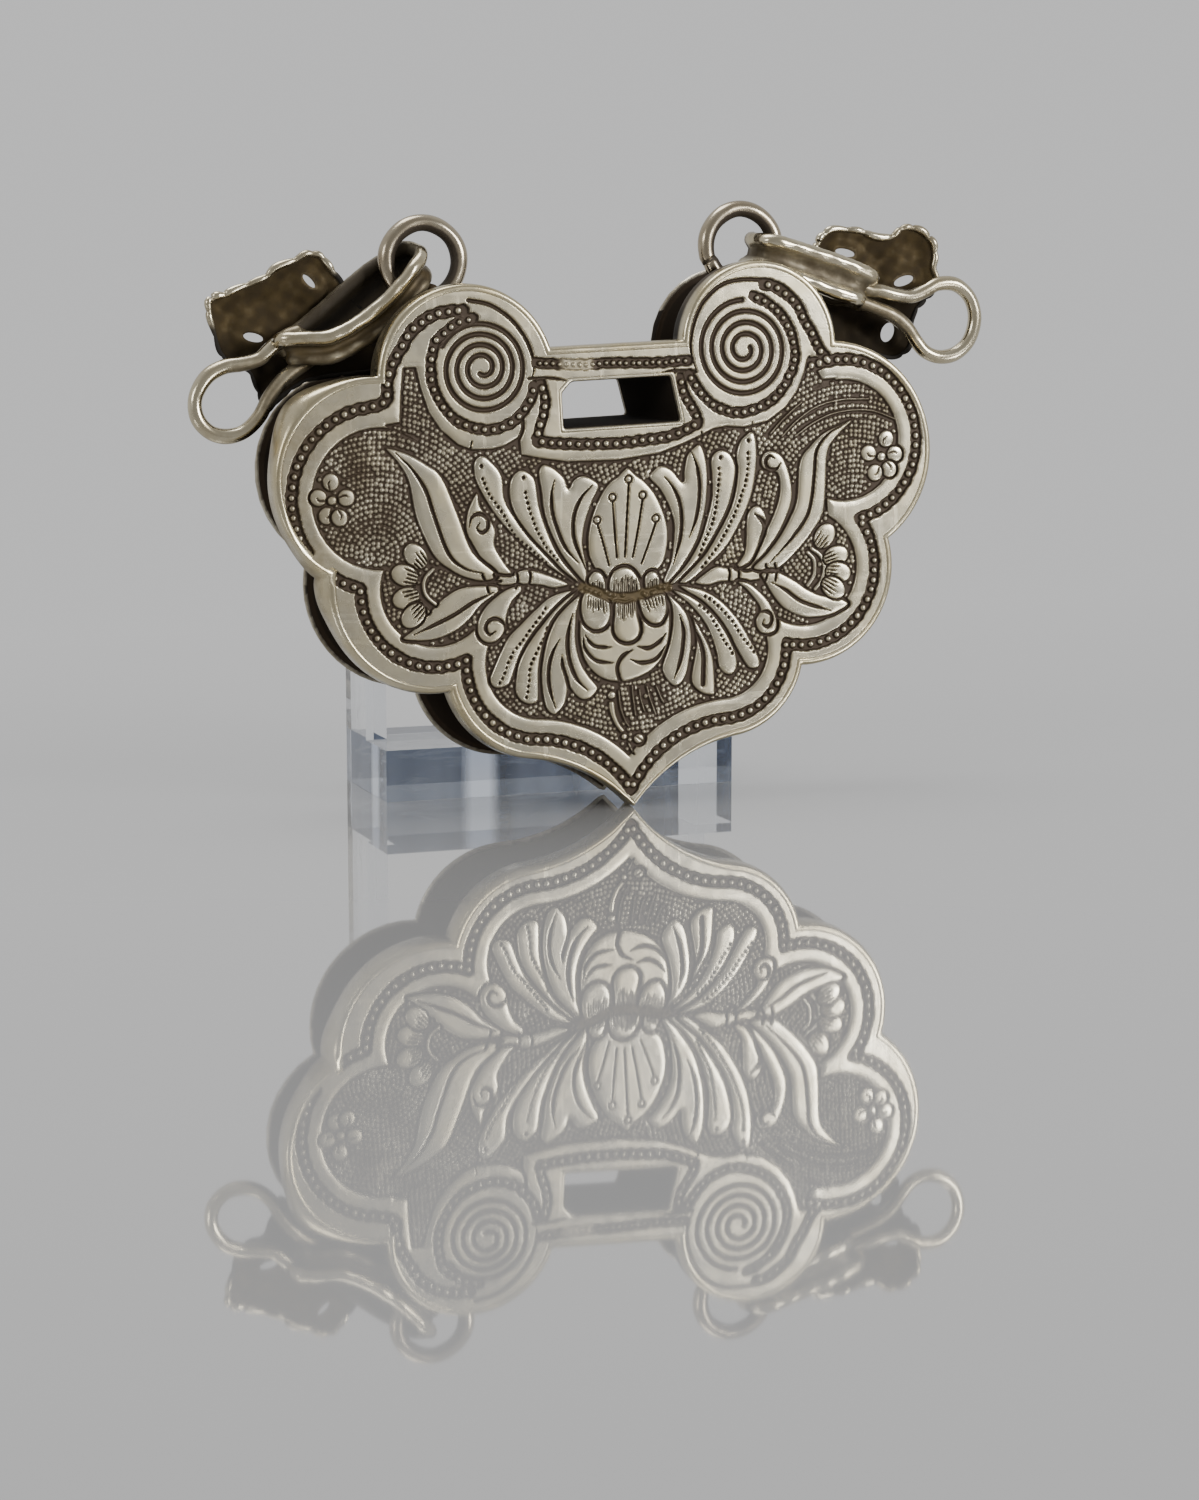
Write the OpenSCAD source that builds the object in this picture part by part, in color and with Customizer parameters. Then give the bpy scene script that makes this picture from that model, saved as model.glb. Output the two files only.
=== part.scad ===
// Hollow silver lock pendant in the form of a ruyi cloud head, with its two chain
// connectors, leaning on a clear stand. Millimetres, Z up, the lock faces -Y.
// The origin is the middle of the stand's underside.

/* [Lock] */
// Depth of the lock from its front face to the back of its back plate
lock_depth = 10.9; // [9:0.1:13]
// Thickness of the silver sheet
sheet = 0.6; // [0.5:0.05:0.8]
// Height of the raised ornament above the punched ground
relief = 0.45; // [0.3:0.05:0.6]
// How far the edge of the front plate is turned back
rim_depth = 2.3; // [1.8:0.1:3]
// How far the side wall is drawn in between the plates
waist = 3.3; // [2.8:0.1:3.4]
// Angle by which the lock leans back
lean = 2.5; // [0:0.5:4]
// Angle by which the lock is turned in its own plane
roll = 2.5; // [0:0.5:4]

/* [Slot] */
// Width of the slot under the bar
slot_w = 13; // [11:0.5:14]
// Height of the slot
slot_h = 5.2; // [5:0.1:5.6]
// Radius of the cut upper corner of the slot
slot_cut = 1.2; // [0.5:0.1:2]

/* [Border] */
// Diameter of a bead in the border
bead_d = 0.8; // [0.6:0.05:0.9]
// Distance between beads in the border
bead_pitch = 1.5; // [1.4:0.05:2]
// Width of the smooth band inside the bead row
band_w = 1.6; // [1:0.1:2]

/* [Jump rings] */
// Wire diameter of the jump rings and end loops
wire_d = 1.7; // [1.4:0.1:1.9]
// Outer diameter of a jump ring
ring_d = 10.4; // [9.8:0.1:11]

/* [Connectors] */
// Width of the grooved strap
strap_w = 3.5; // [3:0.1:3.8]
// Thickness of the strap at its two rims
strap_t = 1; // [0.8:0.05:1.2]
// Outer diameter of an end loop
loop_d = 10.2; // [9.8:0.1:10.6]
// Thickness of the openwork plaque
plaque_t = 1.3; // [1:0.1:1.6]

/* [Stand] */
// Width of the stand
stand_w = 42.5; // [36:0.5:50]
// Depth of the stand from front to back
stand_d = 17; // [12:1:20]
// Height of the stand
stand_h = 25; // [20:1:30]
// Thickness of the base slab
base_t = 6; // [4:0.5:8]
// Thickness of the posts and of the top plate
post_t = 2.5; // [2:0.5:4]

/* [Hidden] */

// Lobes of the outer edge, anticlockwise from the tip as seen from the front: centre x, centre z, radius
EDGE = [[11.5, 16.5, 10.1], [21.9, 25.1, 11.3], [26.1, 38.2, 12.6], [17.8, 50.7, 9.5],
    [-17.0, 48.9, 10.3], [-27.7, 36.4, 12.4], [-22.1, 26.1, 11.5], [-10.6, 17.0, 10.9]];
// Lobes of the bead row: centre x, centre z, radius
ROW = [[11.4, 16.5, 7.85], [21.9, 25.1, 8.9], [27.6, 39.3, 9.2], [17.5, 50.3, 7.1],
    [-17.3, 48.6, 8.0], [-27.7, 36.4, 10.0], [-22.1, 26.1, 8.6], [-10.6, 17.0, 8.6]];
// Tip x, tip z, radius of the hollow curves beside the tip and height of the bar, for the two outlines
EDGE_TIP = [-0.4, -0.3, 20, 51.8];
ROW_TIP = [-0.6, 1.7, 14, 49.6];
// Lobes and tip of the back plate's edge, which is a little smaller on the left
BACK = [[11.5, 16.5, 10.1], [21.9, 25.1, 11.3], [26.1, 38.2, 12.6], [17.7, 50.6, 9.2],
    [-17.0, 48.9, 10.3], [-27.7, 36.4, 11.8], [-23.9, 26.3, 10.9], [-11.8, 16.6, 10.9]];
BACK_TIP = [-0.4, 0.1, 20, 51.8];
// Straight pieces that stand for each lobe's arc
STEPS = [7, 7, 12, 14, 14, 12, 7, 7];
OGEE_STEPS = 5;

// Petals and leaves: base x, z, two bends x, z, x, z, tip x, z, half width, bluntness of the tip from 0 to 1
LEAVES = [
    [-5.6, 25.2, -9, 27, -15, 33, -15.9, 39.8, 1.5, 0.9],
    [-5.2, 25.6, -9, 28.5, -11, 33, -11.3, 38.2, 1.5, 0.9],
    [-4.8, 26, -7.5, 29, -8.3, 34, -8.0, 38.8, 1.3, 0.6],
    [-4.6, 26.4, -6, 29, -6, 34, -4.3, 37.2, 1.2, 0.9],
    [5.0, 24.8, 10, 27, 15, 34, 16.3, 40.6, 1.4, 0.6],
    [5.0, 25.2, 10, 29, 12.3, 33, 12.4, 38.8, 1.5, 0.9],
    [5.0, 25.8, 8.5, 29, 10, 34, 9.3, 39.4, 1.3, 0.4],
    [4.8, 26.2, 7.5, 29, 8, 34, 5.6, 37.4, 1.2, 0.9],
    [-5.4, 24.8, -9, 23.5, -13, 19, -15.1, 15.2, 1.1, 0.8],
    [-5.2, 24.5, -9, 21, -11.5, 18, -12.4, 12.9, 1.3, 0.9],
    [-5.0, 24.2, -8, 20, -8.6, 16, -9.2, 11.2, 1.2, 0.4],
    [-4.8, 23.8, -7.6, 20, -7, 16, -5.3, 12.8, 1.0, 0.9],
    [5.2, 24.6, 9, 23, 13, 19, 15.6, 14.2, 1.1, 0.6],
    [5.0, 24.2, 8.5, 21.5, 11.5, 18, 11.9, 13.7, 1.3, 0.9],
    [4.8, 23.8, 7.8, 20, 9, 16, 9.8, 11.6, 1.2, 0.4],
    [4.6, 23.4, 7.2, 20, 7, 16, 5.9, 12.9, 1.0, 0.9],
    [-16.4, 26.8, -24.5, 29, -22, 36, -26.6, 41.4, 1.1, 0.1],
    [-16.0, 27.2, -21.5, 31, -17.5, 37, -24.6, 41.2, 1.6, 0.1],
    [17.4, 26.2, 26.5, 29.5, 22.5, 37, 29.0, 41.3, 1.2, 0.1],
    [16.8, 26.0, 22, 29.5, 20, 36.5, 26.6, 40.8, 1.6, 0.1],
    [-16.6, 25.8, -19, 26.4, -22.5, 23.6, -25.4, 21.2, 1.1, 0.1],
    [-12.4, 25.6, -15.5, 25.4, -17.5, 21.6, -24.6, 20.8, 1.1, 0.1],
    [17.6, 25.0, 20, 24.4, 23, 21.8, 27.0, 20.9, 1.1, 0.1],
    [13.6, 24.2, 16.5, 23.8, 18, 20.6, 25.2, 19.7, 1.1, 0.1],
    [-12.6, 26.6, -14, 28.4, -13.6, 30, -16.6, 32.2, 1.3, 0.3],
    [14.6, 26.0, 19.6, 29, 22.8, 33, 19.9, 37.6, 1.3, 0.5],
    [14.4, 26.2, 18.4, 28, 14.6, 31.5, 17.3, 32.3, 1.1, 0.8],
    [-12.2, 25.4, -13.4, 24, -13.4, 22, -15.4, 20.8, 1.1, 0.9],
    [13.4, 24.4, 17.6, 24, 18.4, 21, 17.2, 18.6, 1.0, 0.9],
    [-1.8, 13.6, -3.2, 11.6, -2.6, 9.2, -0.8, 7.4, 0.6, 0.3]];
// Round bosses of the ornament: centre x, centre z, radius
BOSSES = [[-3.3, 26.0, 1.5], [0.2, 26.6, 2.1], [3.5, 26.0, 1.5], [-33.0, 38.6, 1.1], [-34.2, 36.4, 1.1],
    [-31.6, 36.3, 1.1], [-33.2, 34.1, 1.1], [33.0, 39.2, 1.0], [30.9, 37.2, 1.0], [33.3, 36.5, 1.0],
    [31.7, 35.0, 1.0], [-24.3, 29.7, 1.1], [-25.4, 27.6, 1.1], [-25.5, 25.3, 1.1], [-24.4, 23.2, 1.1],
    [25.1, 28.4, 1.1], [26.9, 26.0, 1.1], [26.2, 23.0, 1.2], [0.3, 7.3, 0.9], [-15.4, 33.6, 0.9],
    [18.4, 37.9, 0.9], [-15.5, 21.4, 1.0], [17.9, 19.4, 1.0]];
// Spiral bosses on the knobs: centre x, centre z, radius, turn of the outer end
SPIRALS = [[-15.2, 50.1, 5.4, 120], [15.7, 50.2, 6.0, 100]];
SPIRAL_TURNS = 4;
SPIRAL_STEPS = 14;
BASE_LINE = 24.4;
FLOWER_X = 0.3;

half_wire = wire_d / 2;
ring_mid = (ring_d - wire_d) / 2;
loop_mid = (loop_d - wire_d) / 2;
ground = relief;
back_face = lock_depth - sheet;
slot_left = -6.2;
slot_mid_z = 45.8;
// How much narrower the slot is at the back and how much wider at its foot
slot_taper = 2.6;
slot_flare = 0.9;
slot_band = 1.1;
link_y = 6.3;
lug_r = 1.8;
lug_bore = 1.2;
lug_w = 1.6;
lug_shift = 0.7;
bar_waist = 1.3;
// Middle of each jump ring: x, z
RING_L = [-19.45, 61.95];
RING_R = [18.55, 62.4];
lock_at = [4.7, -stand_d / 2 - lock_depth - 1.4, lock_depth * sin(lean) - BACK_TIP[1] + 0.02];

// Arc from angle a0 through a sweep, without its last point
function arc(c, r, a0, sweep, n) =
    [for (i = [0:n - 1]) let (a = a0 + sweep * i / n) c + r * [cos(a), sin(a)]];
// One of the two points where circles meet, on the left (side 1) or right (side -1) of the way from a to b
function meet(a, ra, b, rb, side) =
    let (v = b - a, d = norm(v), k = (ra * ra - rb * rb + d * d) / (2 * d), h = sqrt(max(0, ra * ra - k * k)))
    a + v / d * k + side * h / d * [-v[1], v[0]];
function angle_of(c, p) = atan2(p[1] - c[1], p[0] - c[0]);
function upward(a) = a < 0 ? a + 360 : a;
function centre(row) = [row[0], row[1]];
// Where a lobe's arc, set out by off, meets the hollow curve round a middle m
function touch(lobe, off, m) = centre(lobe) + (lobe[2] + off) * (m - centre(lobe)) / norm(m - centre(lobe));
// Middle of the hollow curve that runs from the tip and touches a lobe
function hollow(lobe, tip, side) = meet(centre(lobe), lobe[2] + tip[2], [tip[0], tip[1]], tip[2], side);
// Where a knob's arc meets the top of the bar
function bar_end(knob, r, z, side) = [knob[0] + side * sqrt(r * r - pow(z - knob[1], 2)), z];

// The cloud outline, set out by off, anticlockwise from the tip
function outline(rows, tip, off) =
    let (
        right = hollow(rows[0], tip, 1),
        left = hollow(rows[7], tip, -1),
        hollow_r = tip[2] - off,
        point = meet(left, hollow_r, right, hollow_r, 1),
        ends = [for (i = [0:7])
            i == 3 ? bar_end(rows[3], rows[3][2] + off, tip[3] + off, -1)
            : i == 7 ? touch(rows[7], off, left)
            : meet(centre(rows[i]), rows[i][2] + off, centre(rows[i + 1]), rows[i + 1][2] + off, -1)],
        starts = [for (i = [0:7])
            i == 0 ? touch(rows[0], off, right)
            : i == 4 ? bar_end(rows[4], rows[4][2] + off, tip[3] + off, 1)
            : ends[i - 1]],
        r0 = angle_of(right, point),
        r1 = angle_of(right, starts[0]),
        l0 = angle_of(left, ends[7]),
        l1 = angle_of(left, point))
    concat(
        arc(right, hollow_r, r0, r1 - r0, OGEE_STEPS),
        [for (i = [0:7]) each
            let (c = centre(rows[i]), a0 = angle_of(c, starts[i]), a1 = angle_of(c, ends[i]))
            concat(arc(c, rows[i][2] + off, a0, upward(a1 - a0), STEPS[i]), i == 3 ? [ends[3]] : [])],
        arc(left, hollow_r, l0, l1 - l0, OGEE_STEPS));

// Two triangles between neighbouring points of two rings
function band(a, b, i, j) = [[a + i, a + j, b + j], [a + i, b + j, b + i]];

// Closed skin through rings of equal length, capped at both ends
module skin(rings) {
    n = len(rings[0]);
    m = len(rings);
    polyhedron(
        points = [for (ring = rings) each ring],
        faces = concat(
            [[for (i = [n - 1:-1:0]) i]],
            [for (k = [0:m - 2], i = [0:n - 1]) each band(k * n, (k + 1) * n, i, (i + 1) % n)],
            [[for (i = [0:n - 1]) (m - 1) * n + i]]));
}

// Closed skin through rings whose last ring joins the first
module torus_skin(rings) {
    n = len(rings[0]);
    m = len(rings);
    polyhedron(
        points = [for (ring = rings) each ring],
        faces = [for (k = [0:m - 1], i = [0:n - 1]) each band(k * n, (k + 1) % m * n, i, (i + 1) % n)]);
}

// Outline points stood up at depth y
function stand_up(points, y) = [for (p = points) [p[0], y, p[1]]];
// The edge's tip rises less than its offset asks, so that the rim stays narrow there
function edge_ring(off, y) = stand_up(outline(EDGE, EDGE_TIP + [0, 1.1 * off, 0, 0], off), y);
function row_ring(off, y) = stand_up(outline(ROW, ROW_TIP, off), y);

// Stands a flat shape up in the lock's plane, from depth y0 back to y1
module upright(y0, y1) {
    translate([0, y1, 0]) rotate([90, 0, 0]) linear_extrude(y1 - y0) children();
}

module lock_pose() {
    translate(lock_at) rotate([-lean, 0, 0]) rotate([0, -roll, 0]) children();
}

// Outline of the slot at depth y, set out by grow
function slot_points(grow, y) =
    let (
        low = slot_mid_z - slot_h / 2 - grow,
        high = slot_mid_z + slot_h / 2 + grow,
        left = slot_left - grow,
        right = slot_left + slot_w - slot_taper * y / lock_depth + grow)
    [[left, low], [right + slot_flare, low], [right, high], [left + slot_cut, high], [left, high - slot_cut]];

// Solid that fills the slot between two depths
module slot_core(grow, y0, y1) {
    skin([stand_up(slot_points(grow, y0), y0), stand_up(slot_points(grow, y1), y1)]);
}

// Sheet with its face on the ground level and its edge rounded over and turned back
module plate_shell() {
    skin([
        row_ring(0.6, ground),
        row_ring(0.6, 0),
        edge_ring(-1.0, 0),
        edge_ring(-0.4, 0.25),
        edge_ring(-0.1, 0.8),
        edge_ring(0, 1.6),
        edge_ring(-0.1, rim_depth),
        edge_ring(-0.1 - sheet, rim_depth),
        edge_ring(-sheet, 1.6),
        edge_ring(-0.15 - sheet, ground + sheet)]);
}

function bezier(p, t) =
    let (s = 1 - t)
    s * s * (s * [p[0], p[1]] + 3 * t * [p[2], p[3]]) + t * t * (3 * s * [p[4], p[5]] + t * [p[6], p[7]]);
// Half width of a leaf along its length, narrow at the base
function leaf_width(row, t) =
    row[8] * pow(sin(90 * min(1, t * 1.35)), 0.8)
        * (t > 0.75 ? sqrt(max(0, 1 - pow((t - 0.75) / 0.25, 1 + row[9]))) : 1);

module leaf(row) {
    steps = 7;
    tip_t = 0.97;
    ts = [for (i = [0:steps]) tip_t * i / steps];
    function side_point(t, s) =
        let (p = bezier(row, t), q = bezier(row, min(1, t + 0.02)), v = (q - p) / norm(q - p))
        p + s * (leaf_width(row, t) + 0.12) * [-v[1], v[0]];
    polygon(concat(
        [for (t = ts) side_point(t, 1)],
        [[row[6], row[7]]],
        [for (i = [steps:-1:0]) side_point(ts[i], -1)]));
}

module spiral(row) {
    turns = SPIRAL_TURNS;
    n = turns * SPIRAL_STEPS;
    r0 = 0.5;
    half = 0.3;
    function at(i, s) =
        let (a = row[3] - i / SPIRAL_STEPS * 360, r = r0 + (row[2] - half - r0) * i / n + s * half)
        [row[0] + r * cos(a), row[1] + r * sin(a)];
    polygon(concat([for (i = [0:n]) at(i, 1)], [for (i = [n:-1:0]) at(i, -1)]));
}

// Seed pod, three scallops, hatched petals and the round calyx of the flower
module flower() {
    pod = [for (i = [0:8]) let (t = i / 8) [4.9 * sin(180 * pow(t, 0.8)) * (1 - 0.1 * t), 25 + 12.3 * t]];
    translate([FLOWER_X, 0]) {
        polygon(concat([for (p = pod) p], [for (i = [7:-1:0]) [-pod[i][0], pod[i][1]]]));
        hull() {
            translate([-3.5, BASE_LINE - 1]) circle(1.2, $fn = 12);
            translate([-3.7, 21.8]) circle(1.7, $fn = 12);
        }
        hull() {
            translate([0, BASE_LINE - 1]) circle(1.4, $fn = 12);
            translate([0, 19.9]) circle(1.7, $fn = 12);
        }
        hull() {
            translate([3.5, BASE_LINE - 1]) circle(1.2, $fn = 12);
            translate([3.7, 21.6]) circle(1.7, $fn = 12);
        }
        translate([0, 18.6]) difference() {
            circle(4.6, $fn = 28);
            translate([0, 1.6]) circle(4.2, $fn = 28);
        }
    }
}

// Stem, collar and binding of a side spray, from the flower out to x
module spray_stem(x, z) {
    hull() {
        translate([sign(x) * 4.9, 24.95]) circle(0.6, $fn = 8);
        translate([x * 0.7, z - 0.1]) circle(0.9, $fn = 8);
    }
    hull() {
        translate([x * 0.76, z]) circle(0.8, $fn = 8);
        translate([x, z]) circle(0.8, $fn = 8);
    }
    hull() {
        translate([x * 0.93, z - 1]) circle(0.45, $fn = 8);
        translate([x * 0.93, z + 1]) circle(0.45, $fn = 8);
    }
}

module bead(p, d) {
    translate([p[0], 0.1, p[1]]) rotate([-90, 0, 0]) cylinder(ground, d * 0.3, d / 2, $fn = 6);
}

// Points along a closed or open line of points, a pitch apart
function run_lengths(points) =
    [for (i = 0, s = 0; i < len(points); s = s + (i + 1 < len(points) ? norm(points[i + 1] - points[i]) : 0),
        i = i + 1) s];
function along(points, runs, s) =
    let (i = max([for (k = [0:len(points) - 2]) runs[k] <= s ? k : 0]))
    points[i] + (points[i + 1] - points[i]) * (s - runs[i]) / (runs[i + 1] - runs[i]);

module bead_run(points, pitch, d) {
    runs = run_lengths(points);
    total = runs[len(runs) - 1];
    count = floor(total / pitch);
    for (i = [0:count]) bead(along(points, runs, min(total - 0.01, (i + 0.5) * total / (count + 1))), d);
}

// Points of a bead row that turns round a knob's spiral, from angle a0 to a1
function knob_row(row, off, a0, a1) =
    arc(centre(row), row[2] + off, a0, a1 - a0, 12);

module front_ornament() {
    difference() {
        polygon(outline(ROW, ROW_TIP, -0.75));
        polygon(outline(ROW, ROW_TIP, -0.75 - band_w));
    }
    for (row = SPIRALS) {
        spiral(row);
        translate([row[0], row[1]]) difference() {
            circle(row[2] + 2.3, $fn = 40);
            circle(row[2] + 1.45, $fn = 40);
        }
    }
    polygon(slot_points(slot_band, 0));
    difference() {
        translate([0.3, 62.4]) circle(23.6, $fn = 90);
        translate([0.3, 62.4]) circle(22.4, $fn = 90);
        translate([-20, 43.2]) square([40, 50]);
        translate([-39.7, 30]) square([30, 30]);
        translate([10.4, 30]) square([30, 30]);
    }
    flower();
    spray_stem(-16.2, 26.3);
    spray_stem(17.2, 25.5);
    for (row = LEAVES) leaf(row);
    for (row = BOSSES) translate([row[0], row[1]]) circle(row[2], $fn = 10);
}

// Embossed sheet, with the beads, bands, spirals, petals and leaves raised on it
module front_plate() {
    color("silver") lock_pose() difference() {
        union() {
            plate_shell();
            upright(0, ground + 0.1) intersection() {
                front_ornament();
                polygon(outline(ROW, ROW_TIP, -0.3));
            }
            bead_run(outline(ROW, ROW_TIP, 0), bead_pitch, bead_d);
            bead_run(knob_row(SPIRALS[0], 0.75, 100, 310), bead_pitch, bead_d);
            bead_run(knob_row(SPIRALS[1], 0.75, -150, 70), bead_pitch, bead_d);
        }
        slot_core(0, -1, 4);
    }
}

// Waisted strip of sheet between the plates, with a wire eye on each shoulder for the jump ring
module side_wall() {
    depth = back_face - rim_depth;
    // The bar keeps more of its height, so that the wall clears the slot
    drawn_tip = EDGE_TIP + [0, 0, 0, waist - bar_waist];
    function wall(off) = [
        edge_ring(off - 0.55, rim_depth),
        stand_up(outline(EDGE, drawn_tip, off - waist), rim_depth + 0.3 * depth),
        stand_up(outline(EDGE, drawn_tip, off - waist), rim_depth + 0.7 * depth),
        stand_up(outline(BACK, BACK_TIP, off - 0.4), back_face)];
    outer = wall(0);
    inner = wall(-sheet);
    color("dimgray") lock_pose() {
        torus_skin(concat(outer, [for (i = [3:-1:0]) inner[i]]));
        for (ring = [RING_L, RING_R]) lug(ring);
    }
}

// Eye that holds a jump ring, with its foot on the wall
module lug(ring) {
    z = ring[1] - ring_mid;
    translate([ring[0] - sign(ring[0]) * lug_shift, link_y, z]) rotate([0, 90, 0]) difference() {
        union() {
            cylinder(lug_w, r = lug_r, center = true, $fn = 24);
            translate([0, -lug_r * 0.8, -lug_w / 2]) cube([lug_r + 1, lug_r * 1.6, lug_w]);
        }
        cylinder(lug_w + 1, r = lug_bore, center = true, $fn = 24);
    }
}

// Sheet tube that lines the slot from plate to plate
module slot_lining() {
    color("dimgray") lock_pose() difference() {
        slot_core(sheet, ground + sheet, back_face);
        slot_core(0, 0, lock_depth);
    }
}

// Plain back sheet with a thin edge that stands a little proud of the wall
module back_plate() {
    color("darkgray") lock_pose() upright(back_face, lock_depth) difference() {
        polygon(outline(BACK, BACK_TIP, 0));
        polygon(slot_points(0, lock_depth));
    }
}

module jump_ring(at) {
    color("lightgray") lock_pose() translate([at[0], link_y, at[1]]) rotate([90, 0, 0])
        rotate_extrude($fn = 48) translate([ring_mid, 0]) circle(half_wire, $fn = 20);
}

module jump_ring_left() {
    jump_ring(RING_L);
}

module jump_ring_right() {
    jump_ring(RING_R);
}

// Middle line of each strap in the lock's plane, from the jump ring out: x, z
STRAP_L = [[-22.3, 60.7], [-24.3, 58.8], [-26.5, 57], [-29.5, 55.7], [-32.8, 54.9], [-35.6, 54.9]];
STRAP_R = [[22.6, 60.6], [24.8, 59.4], [27.2, 58.6], [29.6, 57.8], [31.8, 57], [33.4, 56.5]];
// Half the room between the strap's two sides, at the same places
STRAP_HALF = [2.7, 2.8, 2.8, 2.6, 2.3, 1.5];
// Wire of each end loop in the lock's plane: upper end, where it joins the loop, middle, where the loop
// ends, bend and lower end
LOOP_L = [[-35.0, 53.9], [-39.0, 52.5], [-42.0, 48.0], [-38.3, 46.0], [-34.4, 50.4], [-33.4, 53.2]];
LOOP_R = [[34.6, 56.4], [39.6, 55.7], [43.2, 52.2], [39.9, 50.2], [37.3, 52.5], [33.8, 55.4]];

function strap_dir(path, i) =
    let (a = path[max(0, i - 1)], b = path[min(len(path) - 1, i + 1)]) (b - a) / norm(b - a);

// Ring of eight points of the strap's section: two round rims with a groove between them
function strap_section(p, out, up) =
    let (w = strap_w / 2, t = strap_t / 2)
    [for (q = [[-w, 0.25], [-w * 0.8, 1], [-w * 0.45, 0.2], [w * 0.45, 0.2], [w * 0.8, 1], [w, 0.25],
        [w, -0.6], [-w, -0.6]]) p + up * q[0] + out * q[1] * t];

// Closed strap round a middle line, tilted by tau about it
module strap(path, tau) {
    n = len(path);
    // Across the middle line in the lock's plane, on its upper side
    function above(i) = let (d = strap_dir(path, i)) (d[0] < 0 ? -1 : 1) * [-d[1], 0, d[0]];
    function up_of(i) = above(i) * cos(tau) - [0, sin(tau), 0];
    function across(i) = above(i) * sin(tau) + [0, cos(tau), 0];
    function mid(i) = [path[i][0], link_y, path[i][1]];
    function along_dir(i) = let (d = strap_dir(path, i)) [d[0], 0, d[1]];
    near = [for (i = [0:n - 1]) strap_section(mid(i) - across(i) * STRAP_HALF[i], -across(i), up_of(i))];
    far = [for (i = [n - 1:-1:0]) strap_section(mid(i) + across(i) * STRAP_HALF[i], across(i), up_of(i))];
    function turn(i, a, bulge) =
        let (out = along_dir(i) * bulge * cos(a) + across(i) * sin(a))
        strap_section(mid(i) + out * STRAP_HALF[i], out / norm(out), up_of(i));
    end_a = [for (a = [-45, 0, 45]) turn(n - 1, a, 1)];
    end_b = [for (a = [60, 20, -20, -60]) turn(0, a, -1)];
    rings = concat(near, end_a, far, end_b);
    m = len(rings) - 1;
    torus_skin([for (k = [0:m]) rings[path[1][0] > path[0][0] ? k : m - k]]);
}

// Wire of hulled balls through the points given
module wire(points, r) {
    for (i = [0:len(points) - 2]) hull() {
        translate(points[i]) sphere(r, $fn = 8);
        translate(points[i + 1]) sphere(r, $fn = 8);
    }
}

module end_loop(rows) {
    c = rows[2];
    a0 = angle_of(c, rows[1]);
    a1 = angle_of(c, rows[3]);
    side = rows[0][0] < c[0] ? -1 : 1;
    sweep = side > 0 ? upward(a1 - a0) : -upward(a0 - a1);
    turns = 12;
    ring = [for (i = [0:turns]) let (a = a0 + sweep * i / turns) c + loop_mid * [cos(a), sin(a)]];
    wire([for (p = concat([rows[0]], ring, [rows[4], rows[5]])) [p[0], link_y, p[1]]], half_wire);
}

// Openwork plaque with scalloped edge, cut through between its petals: centre x, z, size x, z, turn
module plaque(c, size, turn, gaps) {
    upright(link_y + 2.6, link_y + 2.6 + plaque_t) translate(c) rotate(turn) difference() {
        union() {
            for (x = [-1, 1], z = [-1, 1]) hull() {
                translate([x * size[0] * 0.26, z * size[1] * 0.26]) circle(size[0] * 0.25, $fn = 14);
                circle(size[0] * 0.16, $fn = 10);
            }
            for (x = [-1, 1]) hull() {
                translate([x * size[0] * 0.3, 0]) circle(size[0] * 0.18, $fn = 12);
                circle(size[0] * 0.2, $fn = 12);
            }
        }
        for (g = gaps) translate([g[0], g[1]]) scale([1, 0.6]) circle(g[2], $fn = 8);
    }
}

// Through cuts of a plaque: x, z from its middle, half length
GAPS = [[-4.2, 4.0, 1.2], [4.2, 3.6, 1.2], [-4.4, -3.8, 1.2], [4.4, -4.2, 1.2]];

// Grooved strap, end loop and plaque, soldered into one piece
module connector_left() {
    color("silver") lock_pose() {
        strap(STRAP_L, 24);
        end_loop(LOOP_L);
        plaque([-36, 57], [15.5, 9.5], 22, GAPS);
    }
}

module connector_right() {
    color("silver") lock_pose() {
        strap(STRAP_R, 4);
        end_loop(LOOP_R);
        plaque([37, 56.3], [15, 15.5], -12, GAPS);
    }
}

// Clear stand: base slab, two posts at the back and a top plate that the lock leans on
module stand() {
    post_d = stand_d / 2;
    color("lightblue", 0.4) {
        translate([-stand_w / 2, -stand_d / 2, 0]) cube([stand_w, stand_d, base_t]);
        for (x = [-stand_w / 2, stand_w / 2 - post_t])
            translate([x, stand_d / 2 - post_d, base_t]) cube([post_t, post_d, stand_h - base_t - post_t]);
        translate([-stand_w / 2, -stand_d / 2, stand_h - post_t]) cube([stand_w, stand_d, post_t]);
    }
}

front_plate();
side_wall();
slot_lining();
back_plate();
jump_ring_left();
jump_ring_right();
connector_left();
connector_right();
stand();
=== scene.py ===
import math

import bmesh
import bpy
import numpy as np
from mathutils import Matrix, Vector


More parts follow.
